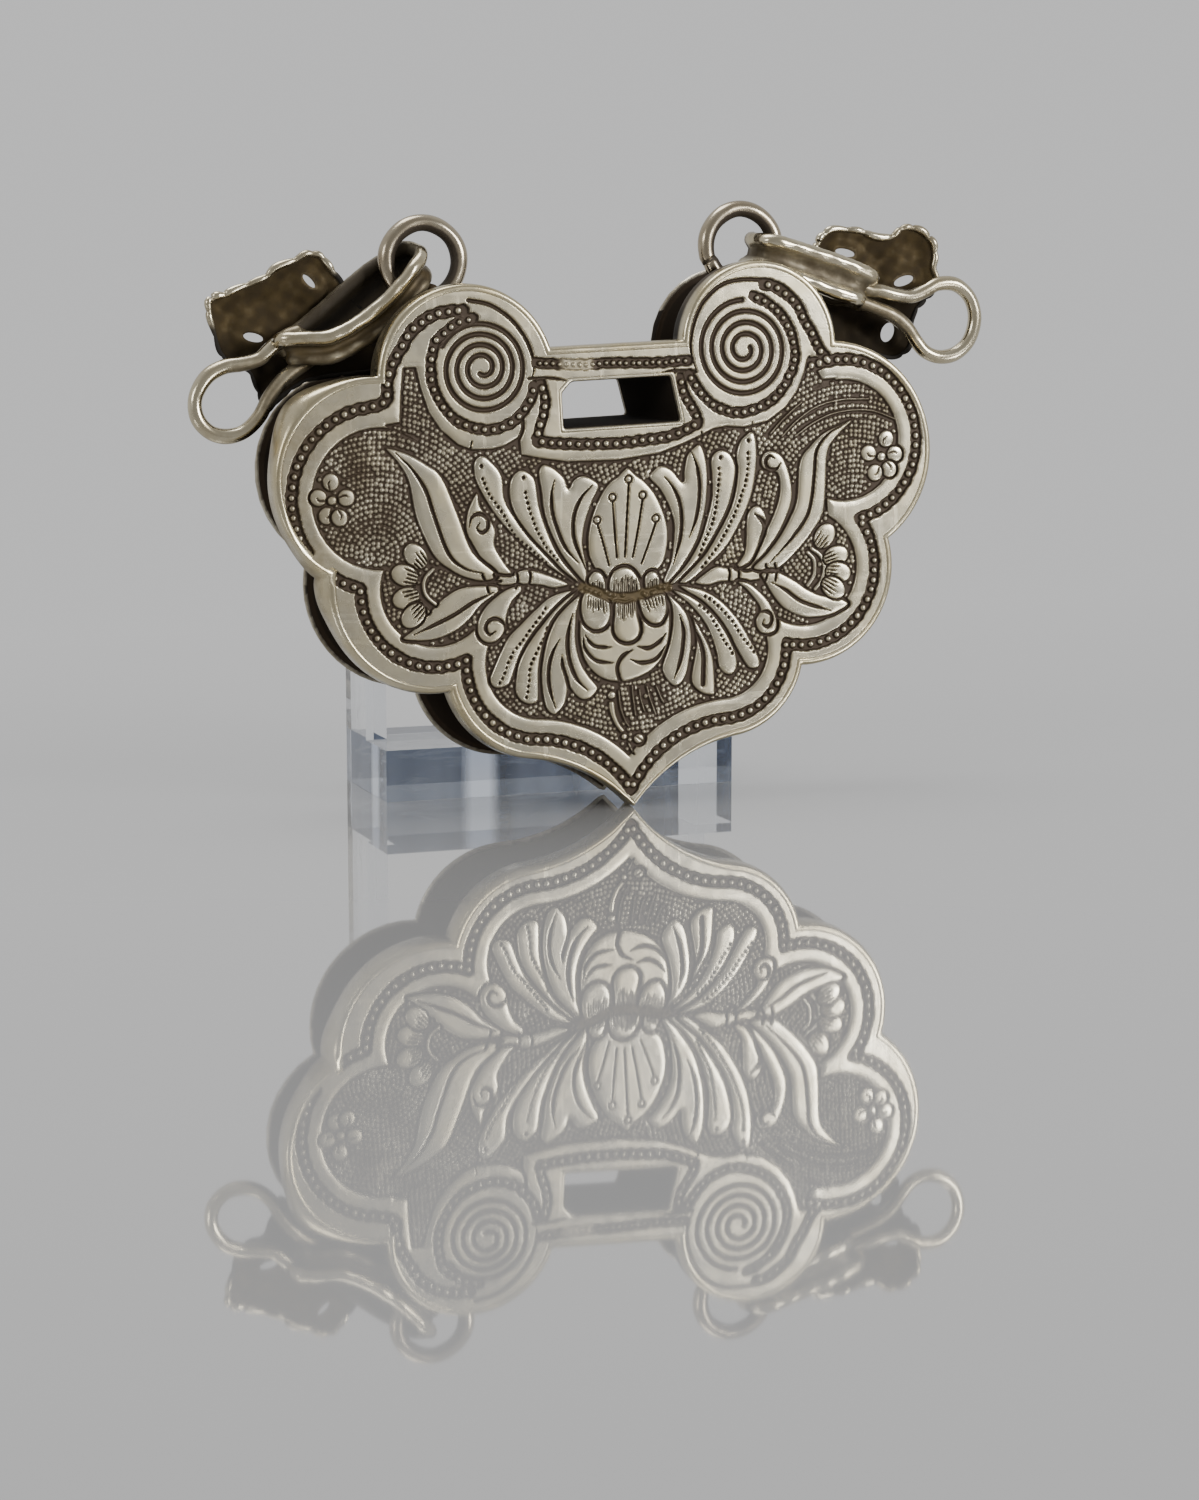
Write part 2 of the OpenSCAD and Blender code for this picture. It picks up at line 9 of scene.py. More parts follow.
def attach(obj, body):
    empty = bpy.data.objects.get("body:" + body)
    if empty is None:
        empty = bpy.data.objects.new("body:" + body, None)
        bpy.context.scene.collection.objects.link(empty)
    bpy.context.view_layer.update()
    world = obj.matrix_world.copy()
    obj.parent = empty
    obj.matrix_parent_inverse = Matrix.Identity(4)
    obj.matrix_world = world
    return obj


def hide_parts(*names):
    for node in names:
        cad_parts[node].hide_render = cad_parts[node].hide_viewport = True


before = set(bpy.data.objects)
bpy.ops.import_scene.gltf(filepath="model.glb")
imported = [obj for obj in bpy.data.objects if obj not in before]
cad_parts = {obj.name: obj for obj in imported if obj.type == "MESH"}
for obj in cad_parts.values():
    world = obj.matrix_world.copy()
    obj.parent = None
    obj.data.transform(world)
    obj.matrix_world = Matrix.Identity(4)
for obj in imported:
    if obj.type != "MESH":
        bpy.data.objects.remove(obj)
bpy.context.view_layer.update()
rng = np.random.default_rng(7)

# The lock's own frame, in millimetres: x to the right, y to the back from the front plate's face, z up from the tip
MM = 0.001
LEAN = math.radians(2.5)
ROLL = math.radians(2.5)
LOCK_DEPTH = 10.9
SHEET = 0.6
RELIEF = 0.45
RIM_DEPTH = 3.3
WAIST = 3.3
BAR_WAIST = 1.3
BACK_FACE = LOCK_DEPTH - SHEET
LINK_Y = 6.3
LOCK_AT = np.array([4.7, -20.8, 0.3954])

# Cloud outlines: x, z and radius of each lobe, from the lower right round to the lower left.
# Their tips: x, z, radius of the hollow flanks, and height of the bar between the two knobs.
KNOB_RIGHT, KNOB_LEFT, LOBES = 3, 4, 8
EDGE = [[11.5, 16.5, 10.1], [21.9, 25.1, 11.3], [26.1, 38.2, 12.6], [17.8, 50.7, 9.5],
        [-17.0, 48.9, 10.3], [-28.1, 38.3, 11.5], [-22.3, 26.6, 12.1], [-10.6, 17.0, 10.9]]
EDGE_TIP = [-0.4, -0.3, 20, 51.8]
ROW = [[11.4, 16.5, 7.85], [21.9, 25.1, 8.9], [27.6, 39.3, 9.2], [17.5, 50.3, 7.1],
       [-17.3, 48.6, 8.0], [-27.7, 36.4, 10.0], [-22.1, 26.1, 8.6], [-10.6, 17.0, 8.6]]
ROW_TIP = [-0.6, 1.7, 14, 49.6]
BACK = [[11.5, 16.5, 10.1], [21.9, 25.1, 11.3], [26.1, 38.2, 12.6], [17.7, 50.6, 9.2],
        [-17.0, 48.9, 10.3], [-28.1, 39.4, 11.0], [-22.7, 26.4, 11.8], [-11.8, 16.6, 10.9]]
BACK_TIP = [-0.4, 0.1, 20, 51.8]
SLOT = {"left": -6.2, "w": 13, "h": 5.1, "cut": 1.2, "mid_z": 45.25, "taper": 2.6, "flare": 0.9, "rise": 0.85}


def rotation(axis, angle):
    return np.array(Matrix.Rotation(angle, 3, axis))


LOCK_TURN = rotation("X", -LEAN) @ rotation("Y", -ROLL)


def lock_pose(p):
    """Points of the lock's own frame, placed where the lock leans on its stand, in the row's millimetres."""
    return np.asarray(p, float) @ LOCK_TURN.T + LOCK_AT


def rise(t):
    """Smooth step from 0 to 1."""
    t = np.clip(t, 0, 1)
    return t * t * (3 - 2 * t)


def meet(a, ra, b, rb, side):
    """Where two circles meet, on the given side of the line between their centres."""
    v = b - a
    d = np.linalg.norm(v)
    k = (ra * ra - rb * rb + d * d) / (2 * d)
    h = math.sqrt(max(0, ra * ra - k * k))
    return a + v / d * k + side * h / d * np.array([-v[1], v[0]])


def angle_of(c, p):
    return math.degrees(math.atan2(p[1] - c[1], p[0] - c[0]))


def arc(c, r, a0, sweep, n):
    a = np.radians(a0 + sweep * np.arange(n) / n)
    return np.stack([c[0] + r * np.cos(a), c[1] + r * np.sin(a)], -1)


def outline(rows, tip, off, n=40):
    """The cloud outline set out by off, anticlockwise from the tip, with n points on each arc and on the bar."""
    rows = np.array(rows, float)
    c, r, t = rows[:, :2], rows[:, 2], np.array(tip[:2], float)
    right = meet(c[0], r[0] + tip[2], t, tip[2], 1)
    left = meet(c[-1], r[-1] + tip[2], t, tip[2], -1)
    hollow = tip[2] - off
    point = meet(left, hollow, right, hollow, 1)

    def touch(i, m):
        return c[i] + (r[i] + off) * (m - c[i]) / np.linalg.norm(m - c[i])

    def bar(i, side):
        z = tip[3] + off
        return np.array([c[i][0] + side * math.sqrt((r[i] + off) ** 2 - (z - c[i][1]) ** 2), z])

    ends = [meet(c[i], r[i] + off, c[i + 1], r[i + 1] + off, -1) for i in range(LOBES - 1)] + [touch(-1, left)]
    ends[KNOB_RIGHT] = bar(KNOB_RIGHT, -1)
    starts = [touch(0, right)] + ends[:-1]
    starts[KNOB_LEFT] = bar(KNOB_LEFT, 1)
    a0 = angle_of(right, point)
    out = [arc(right, hollow, a0, angle_of(right, starts[0]) - a0, n)]
    for i in range(LOBES):
        a0 = angle_of(c[i], starts[i])
        out.append(arc(c[i], r[i] + off, a0, (angle_of(c[i], ends[i]) - a0) % 360, n))
        if i == KNOB_RIGHT:
            s = np.linspace(0, 1, n, endpoint=False)[:, None]
            out.append(ends[i] + (starts[KNOB_LEFT] - ends[i]) * s)
    a0 = angle_of(left, ends[-1])
    out.append(arc(left, hollow, a0, angle_of(left, point) - a0, n))
    return np.concatenate(out)


def edge_line(off, n=40):
    """The front plate's edge set out by off. Its tip moves a little more, which keeps it pointed."""
    return outline(EDGE, [EDGE_TIP[0], EDGE_TIP[1] + 1.1 * off, *EDGE_TIP[2:]], off, n)


def slot_points(grow, y):
    """The five corners of the slot set out by grow, at the depth y."""
    low = SLOT["mid_z"] - SLOT["h"] / 2 - grow + SLOT["rise"] * y / LOCK_DEPTH
    high = SLOT["mid_z"] + SLOT["h"] / 2 + grow
    left = SLOT["left"] - grow
    right = SLOT["left"] + SLOT["w"] - SLOT["taper"] * y / LOCK_DEPTH + grow
    return np.array([[left, low], [right + SLOT["flare"], low], [right, high],
                     [left + SLOT["cut"], high], [left, high - SLOT["cut"]]])


def smooth_line(points, closed=False, step=6):
    """Catmull-Rom curve through the points."""
    p = np.asarray(points, float)
    p = np.concatenate([p[-1:], p, p[:2]]) if closed else np.concatenate([[2 * p[0] - p[1]], p, [2 * p[-1] - p[-2]]])
    t = (np.arange(step) / step)[:, None]
    out = []
    for i in range(1, len(p) - 2):
        a, b, c, d = p[i - 1:i + 3]
        out.append(0.5 * (2 * b + (c - a) * t + (2 * a - 5 * b + 4 * c - d) * t ** 2
                          + (3 * b - a - 3 * c + d) * t ** 3))
    if not closed:
        out.append(p[-2:-1])
    return np.concatenate(out)


def resample(points, pitch, closed=False):
    """Points evenly spaced along a line, about a pitch apart."""
    p = np.asarray(points, float)
    if closed:
        p = np.concatenate([p, p[:1]])
    run = np.concatenate([[0], np.cumsum(np.linalg.norm(np.diff(p, axis=0), axis=1))])
    count = max(2, int(round(run[-1] / pitch)))
    s = (np.arange(count) + 0.5) / count * run[-1]
    return np.stack([np.interp(s, run, p[:, k]) for k in range(p.shape[1])], -1)


# Relief of the front: a grid of heights above the ground, and of how brown the metal is there
CELL = 0.1
X0, X1, Z0, Z1 = -40.6, 39.2, -0.8, 60.6
NX = int(round((X1 - X0) / CELL)) + 1
NZ = int(round((Z1 - Z0) / CELL)) + 1
GX = X0 + CELL * np.arange(NX)
GZ = Z0 + CELL * np.arange(NZ)
X, Z = np.meshgrid(GX, GZ)
# Tops of the forms, a height above all of them, and how far in from its edge a form swells
TOP = RELIEF - 0.02
UNCUT = 9
SWELL = 0.9
height = np.zeros((NZ, NX), np.float32)
brown_map = np.zeros((NZ, NX), np.float32)


def window(lo, hi, pad):
    """The part of the grid round the box from lo to hi."""
    i0 = max(0, int((lo[0] - pad - X0) / CELL))
    i1 = min(NX, int((hi[0] + pad - X0) / CELL) + 2)
    j0 = max(0, int((lo[1] - pad - Z0) / CELL))
    j1 = min(NZ, int((hi[1] + pad - Z0) / CELL) + 2)
    return slice(j0, j1), slice(i0, i1)


def line_distance(points, reach, closed=False):
    """Distance from every grid point to a line, up to reach, and how far along the line (0 to 1) it is nearest."""
    p = np.asarray(points, float)
    q = np.roll(p, -1, 0) if closed else p[1:]
    p = p if closed else p[:-1]
    run = np.concatenate([[0], np.cumsum(np.linalg.norm(q - p, axis=1))])
    dist = np.full((NZ, NX), reach, np.float32)
    part = np.zeros((NZ, NX), np.float32)
    for k, (a, b) in enumerate(zip(p, q)):
        w = window(np.minimum(a, b), np.maximum(a, b), reach)
        v = b - a
        length = float(v @ v) + 1e-12
        t = np.clip(((X[w] - a[0]) * v[0] + (Z[w] - a[1]) * v[1]) / length, 0, 1)
        d = np.hypot(X[w] - a[0] - t * v[0], Z[w] - a[1] - t * v[1])
        near = d < dist[w]
        dist[w][near] = d[near]
        part[w][near] = ((run[k] + t * math.sqrt(length)) / run[-1])[near]
    return dist, part


def inside(points):
    """True for the grid points inside a closed line."""
    p = np.asarray(points, float)
    flips = np.zeros((NZ, NX + 1), np.int32)
    for a, b in zip(p, np.roll(p, -1, 0)):
        if a[1] == b[1]:
            continue
        lo, hi = (a, b) if a[1] < b[1] else (b, a)
        j = np.arange(max(0, math.ceil((lo[1] - Z0) / CELL)), min(NZ, math.ceil((hi[1] - Z0) / CELL)))
        cross = lo[0] + (hi[0] - lo[0]) * (Z0 + j * CELL - lo[1]) / (hi[1] - lo[1])
        i = np.clip(np.ceil((cross - X0) / CELL).astype(int), 0, NX)
        np.add.at(flips, (j, i), 1)
    return (np.cumsum(flips, 1)[:, :NX] % 2).astype(bool)


def signed(points, reach):
    """Distance to a closed line, up to reach, positive inside."""
    d, _ = line_distance(points, reach, True)
    return np.where(inside(points), d, -d)


def curve(points):
    return smooth_line(points) if len(points) > 2 else np.asarray(points, float)


def pillow(s, shoulder):
    """Rise from 0 to 1 with the distance s from the edge: a steep shoulder, then a gentle swell."""
    return 0.8 * (1 - (1 - np.clip(s / shoulder, 0, 1)) ** 2.4) + 0.2 * (1 - (1 - np.clip(s / SWELL, 0, 1)) ** 2)


def raise_shape(points, shoulder=0.3, moat=0.32, top=TOP):
    """A flat-topped form with rounded edges, and a clean groove of width moat around it."""
    s = signed(smooth_line(points, True, 5), SWELL)
    if moat:
        ring = (s > -moat) & (s <= 0)
        height[ring] = np.minimum(height[ring], RELIEF * 0.9 * rise((-s[ring] / moat - 0.55) / 0.45))
    form = np.where(s > 0, top * pillow(s, shoulder), 0)
    np.maximum(height, form, out=height)
    inner = s > 0
    height[inner] = np.minimum(height[inner], form[inner] + 1e-4)


def cut_line(points, half=0.2, depth=0.36, taper=(1, 1)):
    """A groove along a line. taper says whether its start and its end narrow to a point."""
    d, t = line_distance(curve(points), half * 1.2)
    w = np.full_like(t, half)
    for narrows, run in zip(taper, (t, 1 - t)):
        if narrows:
            w *= 0.25 + 0.75 * rise(run / 0.3)
    cut = depth * np.clip(1 - (d / w) ** 2, 0, 1) ** 0.75
    np.minimum(height, np.where(cut > 0, np.maximum(TOP - cut, 0), UNCUT), out=height)


def ridge(points, half=0.2, top=0.3, moat=0.15):
    """A raised line with a round back, and a clean groove of width moat at each side."""
    d, _ = line_distance(curve(points), half + moat)
    height[(d >= half) & (d < half + moat)] = 0
    np.maximum(height, np.where(d < half, top * np.clip(1 - (d / half) ** 2, 0, 1) ** 0.6, 0), out=height)


def channel(points, half):
    """A flat-bottomed channel with steep, slightly uneven walls."""
    d, _ = line_distance(points, half + 0.3)
    d = d + 0.04 * np.sin(4.1 * X + 2.3 * Z) + 0.03 * np.sin(7.7 * Z - 5.2 * X)
    np.minimum(height, np.where(d < half + 0.25, TOP * rise((d - half) / 0.16), UNCUT), out=height)


def spot(p, r):
    """The grid's window round a spot of radius r, and the squared distance from its middle, 1 at its rim."""
    w = window(p, p, r)
    return w, ((X[w] - p[0]) ** 2 + (Z[w] - p[1]) ** 2) / (r * r)


def dome(p, r, top, power=0.5):
    w, d = spot(p, r)
    np.maximum(height[w], top * np.clip(1 - d, 0, 1) ** power, out=height[w])


def pit(p, r):
    w, d = spot(p, r)
    np.minimum(height[w], np.where(d < 1, TOP - 0.36 * np.clip(1 - d, 0, 1) ** 0.6, UNCUT), out=height[w])


def bead_row(points, pitch, r):
    for p in resample(points, pitch):
        size = r * rng.uniform(0.88, 1.08)
        dome(p + rng.normal(0, 0.035, 2), size, 0.4 * rng.uniform(0.9, 1.03))


def dot_row(points, pitch=0.62, r=0.22):
    for p in resample(smooth_line(points), pitch):
        pit(p + rng.normal(0, 0.02, 2), r * rng.uniform(0.85, 1.1))


def ellipse(c, a, b, turn, n=16):
    t = np.linspace(0, 2 * math.pi, n, endpoint=False)
    k, s = math.cos(math.radians(turn)), math.sin(math.radians(turn))
    u, v = a * np.cos(t), b * np.sin(t)
    return np.stack([c[0] + u * k - v * s, c[1] + u * s + v * k], -1)


def spiral(c, a0, step, first, count, sway, n=4):
    """Spiral cut by hand from the middle out, in steps of a twelfth turn: it widens by 1.27 mm a turn and sways."""
    turns = np.arange(count)
    radii = first + 0.106 * turns - sway(turns)
    k = np.arange((count - 1) * n + 1) / n
    r = np.convolve(np.pad(np.interp(k, turns, radii), n // 2, mode="edge"), np.ones(n + 1) / (n + 1), "valid")
    a = np.radians(a0 + step * k)
    return np.stack([c[0] + r * np.cos(a), c[1] + r * np.sin(a)], -1)


def hatch(top, foot, count, depth=0.3):
    """Fine strokes that start on one line of the petal and run towards another."""
    top, foot = np.asarray(top, float), np.asarray(foot, float)
    for k in range(count):
        f = (k + 0.5) / count
        a = top[0] + (top[1] - top[0]) * f
        b = foot[0] + (foot[1] - foot[0]) * f
        cut_line([a, a + (b - a) * rng.uniform(0.55, 1.0) * 0.75], 0.1, depth * rng.uniform(0.8, 1.2), (0, 1))


# Ground of the ornament: the border's inner edge, the bands round the two knobs and the slot's frame
BORDER_HALF = 2.35
border = outline(ROW, ROW_TIP, -BORDER_HALF, 24)
arch = [[26.9, 46.3], [25.3, 46.25], [24.4, 47.9], [23.85, 49], [23.6, 48.65], [23.2, 47.25], [22.2, 45.2],
        [20.6, 43.35], [18.3, 41.95], [15.3, 41.45], [13.3, 41.7], [11.6, 41.5], [10.2, 40.9], [8, 40.1], [5, 39.2],
        [0, 38.75], [-6, 38.95], [-9, 39.5], [-11.4, 40.1], [-11.5, 42], [-13.15, 41.2], [-14.7, 40.9], [-17.05, 41],
        [-18.6, 41.65], [-20.5, 43.4], [-21.75, 45.4], [-22.5, 48.05], [-22.9, 50.3], [-24.2, 50.3], [-24.6, 47.7],
        [-24.95, 44.45], [-26.6, 44.3]]
right_end = np.flatnonzero((border[:, 0] > 20) & (border[:, 1] < 46.6) & (border[:, 1] > 35)).max()
left_start = np.flatnonzero((border[:, 0] < -20) & (border[:, 1] < 44.6) & (border[:, 1] > 35)).min()
to_field = signed(np.concatenate([border[:right_end + 1], arch, border[left_start:]]), 1.2)
height[:] = np.where(to_field < 0, TOP * pillow(-to_field, 0.3), 0)
ground = to_field > 0

# Petals of the flower as closed lines, those of one side in the order in which they overlap
PETALS = [
    # upper left
    [[-6, 25.6], [-6.9, 26.1], [-11, 29.3], [-14.5, 33.3], [-16.6, 37], [-17, 39], [-16.7, 40], [-15.9, 40.4],
     [-15, 39.8], [-13.7, 38], [-13.4, 35], [-11.2, 31.5], [-7.6, 27.1], [-6, 25.9]],
    [[-5.3, 25.3], [-7.2, 26.9], [-8.6, 28.5], [-10.8, 31], [-12.4, 33.4], [-13, 35.3], [-12.9, 37.2], [-12.2, 38.2],
     [-11.3, 38.5], [-10.4, 38], [-9.8, 37], [-9.4, 33.6], [-7.8, 29.1], [-5.6, 26]],
    [[-4.8, 25.4], [-7.4, 28.9], [-9, 33], [-9.3, 36], [-9.5, 38], [-9, 38.9], [-8.2, 38.8], [-7.3, 38.2], [-6.4, 37.2],
     [-6.05, 36.1], [-5.5, 36.9], [-4.5, 37.4], [-3.4, 37.1], [-2.4, 36.1], [-3.3, 34.4], [-4.3, 32], [-4.7, 29.8],
     [-4.5, 28], [-4.4, 26]],
    # upper right
    [[4.6, 24.9], [5.6, 27], [6.1, 29.5], [6.2, 31.6], [5.6, 33.6], [4.7, 35.3], [3.6, 36.6], [4.2, 37.5], [5.2, 37.9],
     [6.4, 37.3], [7.6, 35.9], [7.8, 37.2], [8.2, 38.7], [8.9, 39.5], [9.9, 40], [10.5, 38.7], [10.7, 36.5],
     [10.4, 33.5], [9.8, 31.3], [8.9, 29], [7.2, 26.6], [5.4, 24.7]],
    [[5.4, 24.6], [7.5, 26.6], [9.2, 29], [10.2, 31.3], [11, 34], [11.1, 36.5], [11.1, 38.1], [11.6, 38.9],
     [12.5, 39.2], [13.4, 38.8], [14, 37.8], [14.1, 36.3], [12.9, 32.5], [10.1, 28.2], [8, 26], [6.2, 24.6]],
    [[6.3, 24.4], [8.8, 26.6], [10.5, 28.4], [13.3, 32.7], [14.3, 36.5], [14.2, 38.3], [14.6, 39.7], [15.3, 40.5],
     [16.3, 41], [16.8, 40], [16.7, 37], [15.6, 33], [12.8, 28.5], [10, 26.1], [7.7, 24.5]],
    # lower left
    [[-6.2, 24.8], [-8.8, 24.3], [-11, 22.8], [-12.7, 21.4], [-14.1, 20.2], [-15.2, 18.5], [-16.1, 16.8], [-16.6, 15.7],
     [-16.3, 14.8], [-15.5, 14.5], [-14.4, 14.8], [-13.9, 15.6], [-13.3, 17], [-12.5, 18.6], [-11.4, 20.1],
     [-10.2, 21.4], [-8.6, 22.9], [-7, 24.1]],
    [[-5.4, 24.8], [-7, 23.95], [-8.6, 22.7], [-10.2, 21.1], [-11.4, 19.8], [-12.5, 18.3], [-13.25, 16.8],
     [-13.6, 15.2], [-13.7, 14], [-13.3, 13.1], [-12.5, 12.5], [-11.6, 12.4], [-11, 12.9], [-10.85, 14.5],
     [-10.75, 16.1], [-10.45, 17.6], [-10, 19.2], [-9.35, 20.75], [-8.4, 22.1], [-6.8, 23.5]],
    [[-4.9, 24.4], [-6.6, 23.4], [-8.2, 22], [-9.15, 20.6], [-9.75, 19.2], [-10.2, 17.6], [-10.5, 16], [-10.55, 14.4],
     [-10.45, 12.9], [-10.1, 11.6], [-9.3, 10.95], [-8.5, 11.4], [-7.9, 12.1], [-7.6, 13], [-7.4, 13.9], [-7.1, 13.6],
     [-6.6, 12.9], [-6, 12.4], [-5.4, 12.3], [-4.7, 12.5], [-4.1, 13.1], [-3.9, 13.7], [-4.8, 14.9], [-5.6, 16.3],
     [-6.05, 17.9], [-6.15, 19.5], [-6, 21.1], [-5.8, 22.5]],
    # lower right
    [[6.5, 24.3], [8.6, 23.85], [9.7, 23.4], [10.7, 22.8], [11.9, 21.8], [13.1, 20.4], [14.1, 18.9], [14.9, 17.4],
     [15.5, 16.1], [15.95, 14.8], [15.7, 14.1], [14.9, 14], [14.2, 14.5], [13.1, 16.5], [12.3, 18.3], [11.35, 19.9],
     [10.2, 21.3], [8.9, 22.5], [7.2, 23.6]],
    [[5.6, 23.8], [7.4, 22.2], [8.65, 20.8], [9.6, 19.3], [10.2, 17.7], [10.6, 16.1], [10.75, 14.7], [11.3, 13.9],
     [12.1, 13.55], [12.8, 13.9], [13.15, 14.9], [12.9, 16.3], [12.1, 18.2], [11.2, 19.7], [10.1, 21.1], [8.8, 22.3],
     [7.1, 23.4]],
    [[5.2, 23.6], [6.7, 22.4], [7.6, 21], [8.1, 19.5], [8.2, 17.6], [7.9, 16], [7.5, 14.5], [7.35, 13.3], [7.7, 12.5],
     [8.5, 11.8], [9.3, 11.5], [10.1, 11.5], [10.25, 12.6], [10.25, 15.1], [9.95, 16.7], [9.3, 18.2], [8.4, 19.9],
     [7.2, 21.7], [6, 23.1]],
    [[4.7, 23.8], [5.7, 22.9], [6.7, 21.9], [7.4, 20.7], [7.7, 19.2], [7.7, 17.6], [7.4, 16.1], [7, 14.5], [6.4, 13.4],
     [5.5, 12.85], [4.7, 13.3], [4.1, 14.2], [3.9, 15.3], [4.7, 17.2], [5.3, 19.2], [5.5, 20.8], [5.4, 22.3]],
    # round fruit under the flower
    [[-4.8, 23.4], [-5.5, 22], [-5.7, 20.4], [-5.75, 18.9], [-5.5, 17.3], [-4.9, 16], [-3.9, 14.9], [-2.6, 14.2],
     [-0.9, 13.9], [0.3, 14.05], [1.7, 14.45], [2.9, 15.1], [3.9, 16.1], [4.7, 17.6], [5.1, 19.2], [5.2, 20.8],
     [4.8, 22.6], [0, 23.4]],
    # pod
    [[0.6, 37.7], [-0.2, 37], [-1.3, 36.3], [-2.3, 35.1], [-3.2, 33.5], [-3.9, 31.6], [-4.2, 29.8], [-4, 28],
     [-2.6, 25.8], [0.3, 25], [3, 25.6], [4.7, 26.9], [5.4, 29], [5.5, 31], [5, 33], [4.2, 34.8], [3.1, 36.2],
     [2, 37.1], [1.2, 37.9]],
]
# Stems, tendrils and leaves of the two sprays, and the flower's foot
SPRAYS = [
    # left spray: stem, tendril, leaves, curl
    [[-6.6, 25.45], [-9.2, 26.8], [-11.5, 27.5], [-13, 27.3], [-15.5, 27.5], [-17, 27], [-17.2, 26.3], [-15, 25.9],
     [-12.9, 25.8], [-11.5, 25.75], [-9.8, 25.5], [-8.4, 25.1]],
    [[-16.7, 36.4], [-17.6, 35.2], [-18.1, 34], [-18.3, 32.2], [-17.5, 30.4], [-16.5, 28.7], [-15.2, 27.4],
     [-13.2, 27.1], [-14, 28.4], [-15, 30.4], [-14.8, 32], [-15.5, 33.5], [-16.4, 34.8]],
    [[-26.9, 41.9], [-25.6, 40.2], [-24.5, 38], [-23.9, 34], [-22.2, 29.8], [-20.3, 28], [-18.5, 27], [-16.4, 26.5],
     [-15, 27.2], [-17.6, 29.9], [-19, 34], [-20.6, 38.3], [-22.5, 40], [-24.7, 41.3]],
    [[-15.4, 26], [-19, 26.1], [-21.5, 25], [-23.2, 23.5], [-24.9, 22], [-26.3, 20.9], [-23, 20.5], [-20.3, 21.2],
     [-18.5, 22.4], [-17, 23.9], [-14.8, 25.3]],
    [[-12.5, 25.8], [-14.2, 25.4], [-16.2, 24.1], [-17.4, 22.6], [-17.7, 21], [-17.1, 19.9], [-16, 19.6], [-15, 20.1],
     [-14.4, 21], [-14.1, 22.5], [-13.4, 24], [-12.2, 25.1]],
    # right spray
    [[8.4, 24.4], [9.5, 25.3], [11.1, 26.1], [12.3, 25.9], [13.8, 25.9], [15.6, 25.9], [17, 26], [19, 25.8],
     [19.4, 24.8], [19, 24], [17, 24.1], [14.8, 24], [13.5, 24.1], [11.5, 24.2], [10, 23.95]],
    [[14.3, 25.7], [16.5, 28], [17.3, 29.5], [18.2, 31], [19.1, 33], [19.4, 34.6], [19.2, 36], [18.4, 36.3],
     [17.5, 36.7], [17.2, 37.5], [17.6, 38.4], [18.6, 38.7], [19.7, 38.2], [20.4, 37], [20.9, 35], [20.9, 33],
     [20.1, 31], [18.8, 28.9], [17.1, 27], [15.6, 25.5]],
    [[13.4, 25.7], [14.6, 27.3], [14.9, 29], [15, 30.3], [15.2, 31.6], [15.8, 32.4], [16.6, 32.6], [17.3, 32],
     [17.6, 31], [17.3, 29.6], [16.5, 28], [15.2, 26.1]],
    [[29, 41.6], [26.6, 40.9], [25, 40.2], [23.5, 39], [22, 37.2], [21.4, 33], [20.5, 31], [19, 28.8], [17.3, 27],
     [15.6, 25.5], [17.5, 25], [19, 25.3], [21.2, 27], [23, 28.8], [24.6, 31], [25.1, 33.5], [25.6, 38], [26.9, 39.8]],
    [[18.2, 25.1], [20.5, 23.9], [22.3, 22.6], [24, 21.8], [26.2, 21.3], [27.3, 20.4], [25.2, 19.4], [23.2, 19.2],
     [21.5, 19.4], [19.3, 20.5], [18, 22], [17, 23.8], [16.6, 24.8]],
    [[13.4, 24.2], [14.95, 23.95], [16.35, 22.8], [17.45, 21.5], [18.05, 20.1], [18.3, 18.9], [18, 18.1], [17.1, 17.8],
     [16.2, 18], [15.7, 18.7], [15.6, 19.6], [16.1, 20.4], [16.2, 21], [15.5, 22.1], [14.5, 23.3]],
    # foot of the flower
    [[-2.7, 11.9], [-2.05, 11.9], [-1.9, 10.5], [-1.5, 9.3], [-0.9, 8.4], [-1.3, 8], [-2.1, 9], [-2.6, 10.2],
     [-2.8, 11.2]],
    [[-2.9, 12.6], [-2.4, 13.1], [-1.8, 12.8], [-1.9, 12.2], [-2.6, 12.1]],
]
# Small petals at the flower's middle
CALYX = [
    [[-5.3, 23.6], [-5.45, 22.2], [-5.15, 21], [-4.5, 20.3], [-3.8, 20], [-2.9, 20.1], [-2.2, 20.7], [-1.85, 21.6],
     [-1.85, 22.6], [-2.1, 23.2], [-3.5, 23.9], [-4.7, 24.5]],
    [[1.5, 23.2], [1.7, 21.9], [2.1, 20.9], [2.9, 20.2], [3.9, 20.1], [4.6, 20.8], [4.95, 21.7], [4.9, 22.7],
     [4.6, 23.5], [3.4, 23.4], [2.4, 23.1]],
    [[-1.25, 23], [-1.5, 21.5], [-1.7, 20.3], [-1.6, 19.4], [-1.05, 18.65], [0, 18.3], [1, 18.6], [1.55, 19.4],
     [1.55, 20.3], [1.3, 21.5], [1.2, 23], [0, 22.8]],
    [[-4.4, 25.8], [-3.95, 26.45], [-3.3, 26.7], [-2.6, 26.3], [-2.25, 25.3], [-2.4, 24.4], [-3.3, 24.8], [-4.2, 25.1]],
    [[2.3, 25.1], [2.5, 25.8], [3.2, 26.2], [3.85, 26], [4.25, 25.2], [4.1, 24.4], [3.2, 24.2], [2.4, 24.2]],
    [[-1.8, 24.2], [-1.9, 25.3], [-1.45, 26.3], [-0.7, 26.8], [0.2, 26.9], [1, 26.5], [1.6, 25.7], [1.9, 24.8],
     [1.8, 24], [0, 23.9]],
]
for shape in SPRAYS + PETALS:
    raise_shape(shape)
